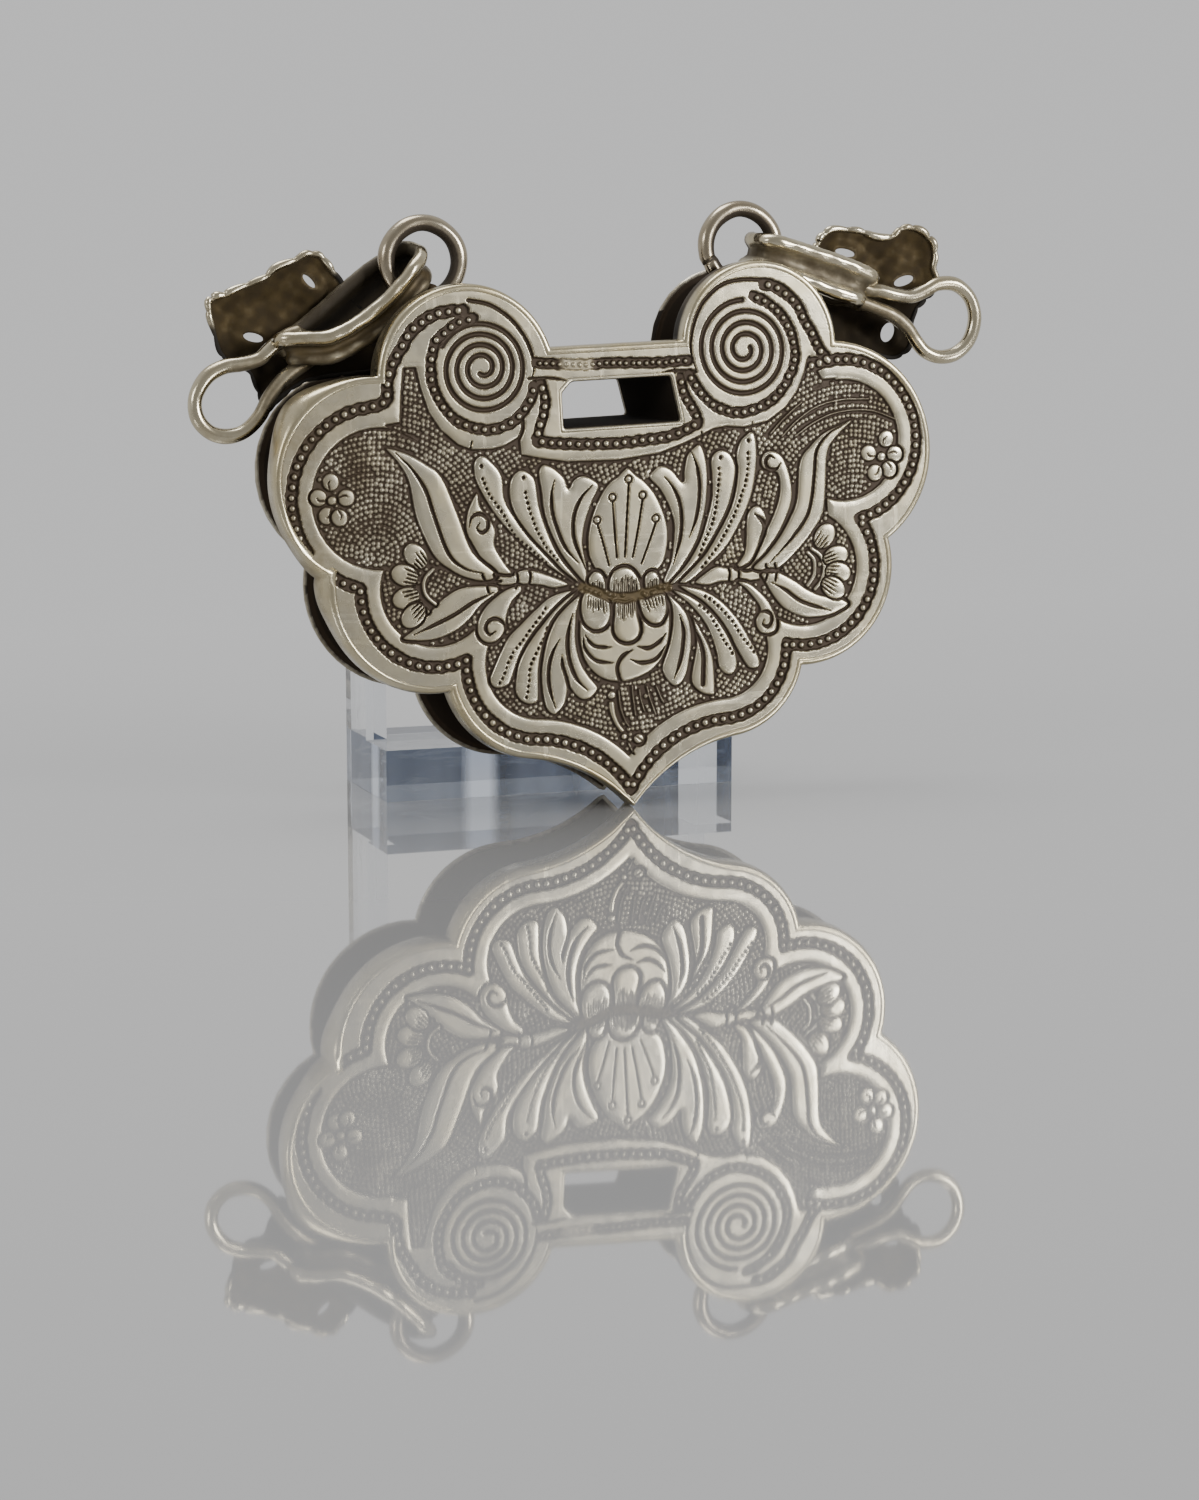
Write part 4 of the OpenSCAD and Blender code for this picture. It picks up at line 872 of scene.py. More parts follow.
# Darker silver for the plaques: painted shade, for metal that lies in shadow behind the straps
plaque_silver_in_shade = silver("plaque_silver_in_shade", (0.36, 0.30, 0.20), (0.20, 0.15, 0.085), (0.03, 0.021, 0.012), rough=0.4,
                       tarnish=0.2, specular=0.2)
back_silver = silver("back_silver", (0.56, 0.52, 0.42), (0.38, 0.33, 0.24), rough=0.3, tarnish=0.1)

# Front plate: its edge, drawn in where the bead row comes near it. The relief's grid ends GRID_IN within the edge
# and GRID_OFF from the slot.
RIM_POINTS = 60
GRID_IN = 0.72
GRID_OFF = 0.3
edge_base = edge_line(0, RIM_POINTS)
row_line = resample(row, 0.5, True)
room = np.array([np.hypot(*(row_line - p).T).min() for p in edge_base])
narrow = np.clip((room - 0.35) / 1.3, 0.35, 1)[:, None]


def flare(p):
    """How far the turned-back rim stands out beyond the edge at two places on the left."""
    return (1.2 * np.exp(-((p[:, 0] + 36) ** 2 + (p[:, 1] - 47) ** 2) / 18)
            + 0.8 * np.exp(-((p[:, 0] + 34.5) ** 2 + (p[:, 1] - 27.5) ** 2) / 14))[:, None]


def rim_line(off, out=0.0):
    """Edge line set in by -off, less where the bead row comes near it, and set out by the flare times out."""
    line = edge_base + (edge_line(off, RIM_POINTS) - edge_base) * (narrow if off > -0.8 else 1)
    if out:
        line = line + (edge_line(0.5, RIM_POINTS) - edge_base) * 2 * out * flare(edge_base)
    return line


plate_edge = signed(rim_line(-GRID_IN), 0.6)
slot_edge = signed(slot_points(GRID_OFF, 0), 0.6)
plate = (plate_edge > 0) & (slot_edge < 0)
cells = plate[:-1, :-1] & plate[1:, :-1] & plate[:-1, 1:] & plate[1:, 1:]
# The border of the grid dips under the smooth strips that finish the plate's edge and the slot
depth = depth + 0.25 * rise((0.14 - plate_edge) / 0.14) + 0.25 * rise((0.12 + slot_edge) / 0.12)
slope_z, slope_x = np.gradient(depth, CELL)
normals = np.stack([slope_x, -np.ones_like(depth), slope_z], -1)
normals = normals / np.linalg.norm(normals, axis=-1, keepdims=True)

# Tarnish lies in the hollows and a little beyond them
cavity = rise((RELIEF - height - 0.065) / 0.265)
blur = cavity.copy()
for _ in range(2):
    blur[1:-1, 1:-1] = (blur[1:-1, 1:-1] * 4 + blur[:-2, 1:-1] + blur[2:, 1:-1] + blur[1:-1, :-2] + blur[1:-1, 2:]) / 8
halo = blur.copy()
for _ in range(12):
    halo[1:-1, 1:-1] = (halo[:-2, 1:-1] + halo[2:, 1:-1] + halo[1:-1, :-2] + halo[1:-1, 2:]) / 4
oxide_map = np.clip(0.64 * cavity + 0.28 * blur + 0.2 * halo, 0, 0.95)
# Between the small domes of the ground the metal is brown rather than black, and worn on the left
patches = value_noise(2.6, 5)
soft = (0.94 - 0.08 * rise((-14 - X) / 14)
        - (0.54 + 0.18 * rise((X + 12) / 24)) * rise((height - 0.04) / 0.22)) + 0.12 * patches - 0.2 * smear
oxide_map = np.where(punched & ~near, np.clip(soft, 0.04, 0.9), oxide_map)
# Darker and browner towards the left, and browner on the border
oxide_map = np.clip(oxide_map + 0.16 * rise((-14 - X) / 18) * (0.7 + 0.3 * patches), 0, 1) * (1 - 0.5 * worn)
for film in (0.22 * rise((-20 - X) / 14) * (0.6 + 0.4 * patches),
             (0.16 + 0.3 * rise((-27 - X) / 7)) * (height > 0.3) * ~punched * (0.75 + 0.35 * patches)
             * rise((-12 - X) / 12),
             0.07 * ~ground * (0.7 + 0.7 * patches), 0.25 * worn):
    brown_map = np.maximum(brown_map, film)

# The relief in upright parts with about the same number of faces
FRONT_NAMES = ["front_relief_left", "front_relief_mid_left", "front_relief_mid_right", "front_relief_right"]
per_column = np.cumsum(cells.sum(0))
limits = np.searchsorted(per_column, per_column[-1] * np.arange(len(FRONT_NAMES) + 1) / len(FRONT_NAMES))
limits[0], limits[-1] = 0, NX - 1
for k, name in enumerate(FRONT_NAMES):
    j, i = np.nonzero(cells[:, limits[k]:limits[k + 1]])
    i = i + limits[k]
    corner = np.stack([j * NX + i, j * NX + i + 1, (j + 1) * NX + i + 1, (j + 1) * NX + i], -1)
    index, faces = np.unique(corner, return_inverse=True)
    j, i = index // NX, index % NX
    build(name, np.stack([GX[i], depth[j, i], GZ[j]], -1), faces.reshape(-1, 4), "embossed_silver", front_silver,
          oxide_map[j, i], brown_map[j, i], replaces=("front_plate",) if k == 0 else (), normals=normals[j, i] @ LOCK_TURN.T)


def ring(line, y):
    """A line of x and z at the depth y, one number or one for each point."""
    return np.stack([line[:, 0], np.broadcast_to(y, len(line)), line[:, 1]], -1)


# Rolled edge of the plate: how far out, how deep, how tarnished, and its share of the flare
RIM = [(-0.9, 0.035, 0.05, 0), (-GRID_IN, 0.01, 0, 0), (-0.55, 0, 0, 0), (-0.4, 0.03, 0, 0), (-0.28, 0.1, 0, 0),
       (-0.18, 0.22, 0, 0.1), (-0.1, 0.42, 0.05, 0.25), (-0.04, 0.75, 0.12, 0.45), (0, 1.2, 0.2, 0.65),
       (0, 1.8, 0.25, 0.85), (0, 2.4, 0.3, 1), (-0.04, 2.9, 0.4, 1), (-0.12, 3.25, 0.5, 1), (-0.3, 3.42, 0.6, 0.9),
       (-0.6, 3.4, 0.8, 0.7), (-1.0, 3.0, 1.0, 0.4), (-1.0, 1.5, 1.0, 0)]
rings = np.array([ring(rim_line(off, out), y) for off, y, _, out in RIM])
# The turned edge is dark between the knobs
shade = (rise((rings[..., 1] - 0.9) / 0.8) * rise((rings[..., 0] + 10) / 0.4) * rise((17 - rings[..., 0]) / 3)
         * (rings[..., 2] > 49.5))
rim_oxide = np.array([oxide for _, _, oxide, _ in RIM])[:, None]
build("front_rim", *strip(rings), "embossed_silver", rim_silver,
      np.maximum(rim_oxide, 0.8 * shade), np.maximum(0.5 * rim_oxide, 0.5 * shade),
      shade * (0.55 + 0.4 * rise((10 - rings[..., 0]) / 1)))


def rounded_slot(grow, y, r=0.35):
    """The slot's outline with its corners rounded, and points along its straight sides."""
    p = slot_points(grow, y)
    t = np.linspace(0, 1, 5)[:, None]
    along_side = (np.arange(1, 8) / 8)[:, None]
    out = []
    for k in range(len(p)):
        a, b, c = p[k - 1], p[k], p[(k + 1) % len(p)]
        forth = (c - b) / np.linalg.norm(c - b) * r
        start, end = b + (a - b) / np.linalg.norm(a - b) * r, b + forth
        out.append((1 - t) ** 2 * start + 2 * t * (1 - t) * b + t ** 2 * end)
        out.append(end + (c - forth - end) * along_side)
    return np.concatenate(out)


# Smooth lip round the slot: how far out, how deep, how tarnished
LIP = [(0.42, 0.035, 0), (0.28, 0.01, 0), (0.16, 0.03, 0), (0.07, 0.1, 0.05), (0.02, 0.22, 0.3), (0, 0.45, 0.6),
       (0, 0.9, 0.9)]
rings = np.array([ring(rounded_slot(grow, 0), y) for grow, y, _ in LIP])
build("slot_lip", *strip(rings), "embossed_silver", front_silver,
      np.repeat([oxide for _, _, oxide in LIP], rings.shape[1]))


WALL_POINTS = 30


def side_wall():
    """Drawn-in strip between the plates: it follows the front edge at one side and the back plate at the other."""
    n = WALL_POINTS
    tall = [*EDGE_TIP[:3], EDGE_TIP[3] + WAIST - BAR_WAIST]
    deep = BACK_FACE - RIM_DEPTH
    outer = np.array([ring(edge_line(-1.1, n), RIM_DEPTH - 0.6), ring(edge_line(-1.3, n), RIM_DEPTH + 0.1),
                      ring(outline(EDGE, tall, -WAIST, n), RIM_DEPTH + 0.22 * deep),
                      ring(outline(EDGE, tall, -WAIST, n), RIM_DEPTH + 0.7 * deep),
                      ring(outline(BACK, BACK_TIP, -1.0, n), BACK_FACE - 0.55),
                      ring(outline(BACK, BACK_TIP, -0.45, n), BACK_FACE)])
    steps = np.linspace(0, len(outer) - 1, 21)
    k = np.minimum(steps.astype(int), len(outer) - 2)
    f = (steps - k)[:, None, None]
    rings = outer[k] * (1 - f) + outer[k + 1] * f
    s = np.linspace(0, 2 * math.pi, rings.shape[1], endpoint=False)
    rings[2:-2, :, 1] += 0.06 * np.sin(9 * s + 1.0) + 0.04 * np.sin(23 * s)
    inner = np.array([ring(outline(BACK, BACK_TIP, -1.2, n), BACK_FACE),
                      ring(outline(EDGE, tall, -WAIST - 0.6, n), RIM_DEPTH + 0.5 * deep),
                      ring(edge_line(-1.6, n), RIM_DEPTH - 0.6)])
    rings = np.concatenate([rings, inner])
    # Painted shade over tarnish on the wall between the plates: lighter next to the front rim, near black deep in the
    # gap
    grime_and_shade = np.full(rings.shape[:2], 0.97)
    grime_and_shade[:2] = 0.35
    grime_and_shade[2:4] = grime_and_shade[17:21] = 0.8
    build("wall_strip", *strip(rings), "dark_silver", wall_silver_in_shade, grime_and_shade,
          painted_shade=np.clip(grime_and_shade * 2 - 1.08, 0, 0.85), replaces=("side_wall",))


def tube(path, radius, sides, closed=False, flat=1.0):
    """Points and faces of a round tube along a line of points. radius is one number or one for each point."""
    p = np.asarray(path, float)
    n = len(p)
    r = np.broadcast_to(np.asarray(radius, float), (n,))
    t = np.roll(p, -1, 0) - np.roll(p, 1, 0) if closed else np.gradient(p, axis=0)
    t = t / np.linalg.norm(t, axis=1, keepdims=True)
    up = np.cross(t[0], (0.13, 1.0, 0.21))
    a = np.linspace(0, 2 * math.pi, sides, endpoint=False)[:, None]
    rings = []
    for k in range(n):
        up = up - t[k] * (up @ t[k])
        up = up / np.linalg.norm(up)
        rings.append(p[k] + r[k] * (np.cos(a) * up + flat * np.sin(a) * np.cross(t[k], up)))
    faces = [grid_faces(n, sides, closed_rows=closed)]
    points = np.concatenate(rings)
    if not closed:
        j = np.arange(sides)
        j2 = (j + 1) % sides
        last = (n - 1) * sides
        faces.append(np.stack([np.full(sides, len(points)), j2, j], -1))
        faces.append(np.stack([np.full(sides, len(points) + 1), last + j, last + j2], -1))
        points = np.concatenate([points, p[:1] - t[:1] * r[0] * 0.5, p[-1:] + t[-1:] * r[-1] * 0.5])
    return points, faces


def join(parts):
    """One set of points and faces out of several."""
    points, faces, start = [], [], 0
    for p, f in parts:
        points.append(p)
        faces += [g + start for g in (f if isinstance(f, list) else [f])]
        start += len(p)
    return np.concatenate(points), faces


# Jump rings: x and z of the middle, and the angle of the cut where the wire's ends meet
RINGS = {"left": (-19.45, 61.95, -1.9), "right": (18.55, 62.0, -2.79)}
RING_MID = 4.3
HALF_WIRE = 0.98


def jump_ring(side, rx, rz, cut, sides=28):
    a = np.linspace(0, 2 * math.pi, 160, endpoint=False)
    gap = (a - cut + math.pi) % (2 * math.pi) - math.pi
    radius = HALF_WIRE * (1 + 0.02 * np.sin(3 * a + 1) + 0.015 * np.sin(7 * a))
    radius = radius * (1 - 0.16 * np.exp(-(gap / 0.03) ** 2))
    mid = (RING_MID - 0.12 + 0.04 * np.sin(2 * a + 0.6) + 0.02 * np.sin(5 * a)
           - 0.13 * np.sign(gap) * np.exp(-np.abs(gap) / 0.3))
    path = np.stack([rx + mid * np.cos(a), LINK_Y + 0.05 * np.sin(a), rz + mid * np.sin(a)], -1)
    points, faces = tube(path, radius - 0.03, sides, closed=True)
    # Darker at the cut where the wire's ends meet; painted shade darkens and browns the ring's inner face
    grime_and_shade = np.repeat(0.04 + 0.8 * np.exp(-(gap / 0.035) ** 2), sides)
    inner = rise((RING_MID - 0.15 - np.hypot(points[:, 0] - rx, points[:, 2] - rz)) / 0.5)
    build("jump_ring_wire_" + side, points, faces, "wire", wire_silver, grime_and_shade + 0.85 * inner, 0.2 * inner, 0.35 * inner,
          replaces=("jump_ring_" + side,))


def ring_eye(side, rx, rz):
    """The eye that holds a jump ring, and its foot on the wall."""
    x, z = rx - math.copysign(0.7, rx), rz - RING_MID
    a = np.linspace(0, 2 * math.pi, 48, endpoint=False)
    eye = tube(np.stack([np.full_like(a, x), LINK_Y + 1.5 * np.cos(a), z + 1.5 * np.sin(a)], -1), 0.66, 16,
               closed=True, flat=0.45)
    foot = tube([[x, LINK_Y, z - low] for low in (1.5, 1.9, 2.3, 2.75)], [0.6, 0.72, 0.78, 0.8], 16, flat=1.7)
    build("ring_eye_" + side, *join([eye, foot]), "dark_silver", wall_silver_in_shade, 0.6, 0.3)


def slot_sleeve():
    rings = [ring(rounded_slot(0.0, y, 0.5), y) for y in np.linspace(0.5, LOCK_DEPTH - 0.05, 12)]
    rings += [ring(rounded_slot(0.5, y, 0.5), y) for y in np.linspace(BACK_FACE, 0.9, 6)]
    rings = np.array(rings)
    # Painted shade: the sleeve inside the slot is tarnished and near black
    grime_and_shade = np.full(rings.shape[:2], 0.96)
    grime_and_shade[:1] = 0.7
    build("slot_sleeve", *strip(rings), "dark_silver", wall_silver_in_shade, grime_and_shade,
          painted_shade=0.95, replaces=("slot_lining",))


side_wall()
for side, (rx, rz, cut) in RINGS.items():
    jump_ring(side, rx, rz, cut)
    ring_eye(side, rx, rz)
slot_sleeve()


def line_field(line):
    """Signed distance to a closed line, positive inside, for any points."""
    p = np.asarray(line, float)
    q = np.roll(p, -1, 0)

    def field(x, z):
        shape = np.shape(x)
        x, z = np.ravel(x), np.ravel(z)
        best = np.full(len(x), 1e9)
        odd = np.zeros(len(x), bool)
        for a, b in zip(p, q):
            v = b - a
            t = np.clip(((x - a[0]) * v[0] + (z - a[1]) * v[1]) / (v @ v + 1e-12), 0, 1)
            best = np.minimum(best, (x - a[0] - t * v[0]) ** 2 + (z - a[1] - t * v[1]) ** 2)
            if a[1] != b[1]:
                odd ^= ((a[1] > z) != (b[1] > z)) & (x < a[0] + (z - a[1]) * v[0] / v[1])
        return (np.where(odd, 1, -1) * np.sqrt(best)).reshape(shape)
    return field


def cut_sheet(lines, cell, front, back):
    """A thin sheet between front(x, z, d) and back(x, z, d). The first line bounds it, the others are holes."""
    fields = [line_field(line) for line in lines]

    def field(x, z):
        out = fields[0](x, z)
        for hole in fields[1:]:
            out = np.minimum(out, -hole(x, z))
        return out

    low, high = lines[0].min(0), lines[0].max(0)
    x, z = np.meshgrid(np.arange(low[0] - cell, high[0] + cell, cell), np.arange(low[1] - cell, high[1] + cell, cell))
    d = field(x, z)
    ok = d > 0
    cells = ok[:-1, :-1] & ok[1:, :-1] & ok[:-1, 1:] & ok[1:, 1:]
    padded = np.pad(cells, 1)
    corners = [padded[:-1, :-1], padded[1:, :-1], padded[:-1, 1:], padded[1:, 1:]]
    used = np.logical_or.reduce(corners)
    rim = used & ~np.logical_and.reduce(corners)
    step = 0.02
    rx, rz = x[rim], z[rim]
    for _ in range(4):
        f = field(rx, rz)
        fx = (field(rx + step, rz) - f) / step
        fz = (field(rx, rz + step) - f) / step
        g = np.maximum(fx ** 2 + fz ** 2, 0.2)
        rx = rx - np.clip(f / g, -cell, cell) * fx
        rz = rz - np.clip(f / g, -cell, cell) * fz
    x[rim], z[rim], d[rim] = rx, rz, 0
    index = np.full(ok.shape, -1)
    index[used] = np.arange(used.sum())
    px, pz, pd = x[used], z[used], np.maximum(d[used], 0)
    near = np.stack([px, front(px, pz, pd), pz], -1)
    far = np.stack([px, back(px, pz, pd), pz], -1)
    j, i = np.nonzero(cells)
    quads = np.stack([index[j, i], index[j, i + 1], index[j + 1, i + 1], index[j + 1, i]], -1)
    edges = np.concatenate([quads[:, [0, 1]], quads[:, [1, 2]], quads[:, [2, 3]], quads[:, [3, 0]]])
    key = set(map(tuple, edges.tolist()))
    border = np.array([e for e in sorted(key) if (e[1], e[0]) not in key])
    n = len(near)
    side = np.stack([border[:, 1], border[:, 0], border[:, 0] + n, border[:, 1] + n], -1)
    return np.concatenate([near, far]), [quads, quads[:, ::-1] + n, side], pd


def back_plate():
    """The plain back sheet: a thin flange, a light groove that follows it, painted shade where the wall hides it, and a
    painted highlight along the edges that show.
    """
    groove = line_field(outline(BACK, BACK_TIP, -2.2, 10))

    def front(x, z, d):
        return BACK_FACE + 0.02 + 0.1 * (1 - rise(d / 0.5))

    def back(x, z, d):
        mark = 0.12 * np.clip(1 - (groove(x, z) / 0.35) ** 2, 0, 1)
        dent = 0.05 * np.sin(0.31 * x + 0.2 * z) * np.sin(0.27 * z - 0.1 * x + 1)
        return LOCK_DEPTH - 0.02 - 0.2 * (1 - rise(d / 0.5)) - mark - 0.05 - dent * rise(d / 2)

    lines = [outline(BACK, BACK_TIP, -0.03, 14), rounded_slot(0.02, LOCK_DEPTH, 0.5)]
    points, faces, d = cut_sheet(lines, 0.42, front, back)
    x, z = points[:, 0], points[:, 2]
    mark = np.clip(1 - (groove(x, z) / 0.45) ** 2, 0, 1)
    # Painted shade darkens and blackens the hidden inner face; a painted highlight keeps clean the edges that show
    hidden = np.arange(len(points)) < len(d)
    beside_bar = (np.abs(x) > 9.8) | (z < 48)
    painted_edge_highlight = (np.concatenate([d, d]) < 0.2) & (~hidden | beside_bar)
    oxide = np.where(hidden, 0.9, 0.12 + 0.75 * mark + 0.1 * np.sin(0.4 * x) * np.sin(0.3 * z))
    build("back_sheet", points, faces, "plain_silver", back_silver, np.where(painted_edge_highlight, 0.05, oxide),
          painted_shade=0.75 * (hidden & ~painted_edge_highlight), replaces=("back_plate",))


back_plate()

# Connectors. Straps: radius of the two round rims, and the rims' middle lines once round, as the upper rim's x, y, z
# and the lower rim's x, y, z. The near side comes first, from the ring's end out, then the far side.
STRAPS = {
    "left": (0.84, [
        [-21.6, 3.5, 60.9, -21, 4.4, 58.6], [-23.2, 3.4, 59.2, -22.5, 4.3, 56.9], [-25.3, 3.4, 57.4, -24.7, 4.3, 55.2],
        [-28.2, 3.4, 55.5, -27.6, 4.3, 53.5], [-31.3, 3.5, 54.2, -30.9, 4.4, 52.1], [-34.2, 3.7, 54.2, -33.4, 4.6, 52],
        [-36.1, 4.4, 54.2, -34.7, 5.1, 52.1], [-36.5, 5.9, 54, -34.9, 6.3, 52], [-35.7, 7.4, 54.1, -34.3, 7.8, 52.2],
        [-33.8, 8.4, 55, -33, 9.1, 53], [-31, 8.6, 56.9, -30, 9.2, 54.2], [-28.4, 8.7, 58.9, -27.2, 9.3, 55.8],
        [-25.6, 8.7, 60.9, -24.4, 9.3, 57.7], [-23, 8.5, 62.5, -22, 9.1, 59.5], [-21.2, 7.6, 63.4, -20.5, 8.1, 61.2],
        [-20, 6, 63, -19.4, 6.6, 60.7], [-20.3, 4.5, 62.1, -19.8, 5.2, 59.7]]),
    "right": (0.86, [
        [21.6, 3.5, 62.2, 20.9, 3.8, 59.2], [24.3, 3.5, 61.4, 23.6, 3.8, 58.3], [26.9, 3.5, 60.5, 26.3, 3.8, 57.3],
        [29.5, 3.5, 59.6, 28.8, 3.8, 56.3], [32, 3.6, 58.6, 30.9, 3.9, 55.6], [33.7, 4.1, 57.9, 32.1, 4.4, 55.3],
        [34.4, 5.2, 57.5, 32.7, 5.5, 55.1], [34.4, 6.7, 57.5, 32.7, 7, 55.1], [33.6, 8, 58, 32.3, 8.3, 55.4],
        [31.8, 8.7, 58.9, 31, 9, 55.6], [29.4, 8.9, 59.8, 28.7, 9.2, 56.5], [26.9, 9, 60.7, 26.2, 9.3, 57.5],
        [24.4, 9, 61.6, 23.6, 9.3, 58.5], [21.8, 8.9, 62.5, 21, 9.2, 59.5], [20.7, 7.9, 62.7, 19.9, 8.2, 59.9],
        [20.2, 6.3, 62.6, 19.3, 6.6, 59.8], [20.6, 4.6, 62.4, 19.8, 4.9, 59.6]]),
}
# End loops: x and z of the wire's middle line
LOOPS = {
    "left": [[-33.9, 54.9], [-35.4, 54.5], [-37.2, 53.3], [-38.7, 52.2], [-40.6, 51.8], [-42.6, 51.6], [-44.6, 50.6],
             [-46.0, 48.5], [-46.0, 46.3], [-44.8, 44.7], [-43.0, 44.1], [-41.0, 44.5], [-39.2, 46.0], [-37.8, 48.2],
             [-35.9, 50.1], [-34.0, 51.3], [-32.4, 52.2]],
    "right": [[33.0, 56.9], [34.4, 56.2], [35.9, 56.0], [37.7, 55.5], [39.7, 55.2], [41.6, 55.8], [43.3, 56.5],
              [45.6, 56.3], [47.4, 54.7], [48.0, 52.3], [47.2, 49.8], [45.4, 48.3], [43.3, 48.0], [41.5, 48.7],
              [40.3, 50.1], [39.2, 51.7], [37.5, 53.1], [35.3, 54.1], [33.2, 54.9]],
}
# Plaques: x and z of the edge
PLAQUES = {
    "left": [[-43.0, 59.0], [-41.3, 59.4], [-39.4, 60.2], [-37.8, 60.7], [-36.9, 61.0], [-35.4, 62.0], [-33.2, 62.8],
             [-31.9, 63.4], [-30.4, 63.2], [-29.6, 62.2], [-28.4, 60.4], [-27.6, 58.6], [-25.9, 57.0], [-23.8, 55.6],
             [-22.8, 53.4], [-24.4, 50.6], [-27.6, 50.1], [-31.0, 49.9], [-33.6, 49.3], [-35.8, 48.0], [-37.6, 46.6],
             [-38.5, 48.9], [-39.4, 51.0], [-40.9, 51.6], [-42.3, 53.1], [-43.0, 55.8], [-43.3, 57.6]],
    "right": [[29.3, 61.8], [30.3, 63.0], [31.6, 63.5], [33.3, 63.4], [35.1, 63.1], [36.9, 62.3], [38.9, 62.3],
              [40.2, 63.2], [41.6, 63.3], [43.1, 62.6], [44.2, 61.4], [44.5, 59.8], [44.2, 58.4], [44.6, 57.0],
              [43.6, 55.5], [42.2, 54.2], [41.2, 52.6], [41.0, 50.6], [40.2, 48.9], [38.6, 48.2], [36.6, 48.6],
              [34.8, 49.4], [33.0, 49.2], [31.4, 50.0], [30.4, 51.6], [30.6, 53.4], [29.6, 55.2], [29.0, 57.2],
              [29.6, 59.2], [28.9, 60.5]],
}
# Openings of the plaques: middle, half length, half width, turn
HOLES = {
    "left": [((-31.8, 60.4), 0.95, 0.36, -48), ((-38.5, 54.6), 1.15, 0.48, -14)],
    "right": [((32.9, 60.7), 1.3, 0.45, -12), ((40.3, 57.1), 1.35, 0.55, 14), ((37.9, 51.2), 1.2, 0.85, 60)],
}
# Solder between the strap's end, the wire and the plaque: x, y, z and radius of the blobs
SOLDER = {
    "left": [(-34.0, 7.3, 54.2, 1.25), (-34.2, 6.6, 52.5, 1.1), (-35.0, 8.2, 53.4, 1.3)],
    "right": [(33.7, 7.2, 56.7, 1.2), (33.5, 6.9, 55.0, 1.1), (34.6, 8.3, 55.8, 1.3)],
}
PLAQUE_PITCH = 0.3
PLAQUE_Y = 8.95


def strap(side):
    """Closed band of sheet with a round rim at each side, tarnished in its groove, and with painted shade inside and on
    its far side.
    """
    left = side == "left"
    r, stations = STRAPS[side]
    stations = np.array(stations, float)
    top, low = smooth_line(stations[:, :3], True, 7), smooth_line(stations[:, 3:], True, 7)
    mid = (top + low) / 2
    t = np.roll(mid, -1, 0) - np.roll(mid, 1, 0)
    t /= np.linalg.norm(t, axis=1, keepdims=True)
    up = top - low
    h = np.linalg.norm(up, axis=1) / 2
    up /= 2 * h[:, None]
    out = np.cross(t, up)
    if ((mid - mid.mean(0)) * out).sum() < 0:
        out = -out
    # Section: share of the half width, and the offsets along it and outwards
    turn = np.radians(np.linspace(150, -150, 15))
    edge = r * np.stack([np.cos(turn), np.sin(turn)], -1)
    section = ([(1, u, v) for u, v in edge] + [(0.2, 0, -0.3), (-0.2, 0, -0.3)]
               + [(-1, -u, v) for u, v in edge[::-1]] + [(-0.25, 0, 0.1), (0.25, 0, 0.1)])
    rings = np.array([mid + up * (w * h + u)[:, None] + out * v for w, u, v in section]).transpose(1, 0, 2)
    groove = np.array([1 - abs(w) if abs(w) < 1 else max(0, -u * w / r - 0.4) for w, u, _ in section])
    hidden = np.array([rise(-v / r) if abs(w) == 1 else float(v < 0) for w, _, v in section])
    low_side = np.array([float(w < 0) for w, _, _ in section])

    rings = rings + 0.03 * np.sin(rings[..., [2, 0, 1]] * 2.7 + 1.0) + 0.02 * np.sin(rings[..., [1, 2, 0]] * 6.1)
    patch = 0.5 + 0.5 * np.sin(1.9 * rings[..., 0] + 1.1 * rings[..., 2]) * np.sin(2.3 * rings[..., 1] + 0.7)
    # Painted shade darkens, browns and blackens the far side and the faces turned inwards; the groove's tarnish and the
    # patches are the band's own
    far = rise((rings[..., 1] - 6.0) / 1.5) * (1 if left else 0.5)
    dark = 0.78 * groove + 0.75 * hidden + 0.12 * patch + 0.4 * far
    brown = 0.85 * groove * (0.6 + 0.4 * patch) + 0.35 * hidden + 0.4 * far
    if left:
        painted_shade = far * (0.3 + 0.3 * groove) + 0.35 * hidden
        dark, brown = dark + 0.4 * low_side * (0.5 + patch), brown + 0.6 * low_side * patch
    else:
        painted_shade = 0.4 * hidden + 0.35 * far + 0.3 * groove * patch
    build("strap_" + side, *strip(rings), "worn_silver", strap_silver, dark,
          brown, painted_shade, replaces=("connector_" + side,))


def end_loop(side, sides=24):
    """End loop of bent wire, dirty where it is soldered on."""
    line = smooth_line(LOOPS[side], step=8)
    s = np.linspace(0, 1, len(line))
    y = LINK_Y + 0.25 * np.sin(2 * math.pi * s) * (1 if side == "left" else -1)
    wire_r = 0.82 * (1 + 0.03 * np.sin(23 * s) + 0.02 * np.sin(51 * s + 1))
    points, faces = tube(ring(line, y), wire_r, sides)
    along = np.append(np.repeat(s, sides), (0.0, 1.0))
    c = np.array(LOOPS[side]).mean(0)
    turned = rise((3.4 - np.hypot(points[:, 0] - c[0], points[:, 2] - c[1])) / 0.8)
    ends = rise((0.16 - np.minimum(along, 1 - along)) / 0.1)
    build("end_loop_" + side, points, faces, "worn_silver", strap_silver, 0.08 + 0.3 * turned + 0.35 * ends,
          0.2 * turned + 0.5 * ends)


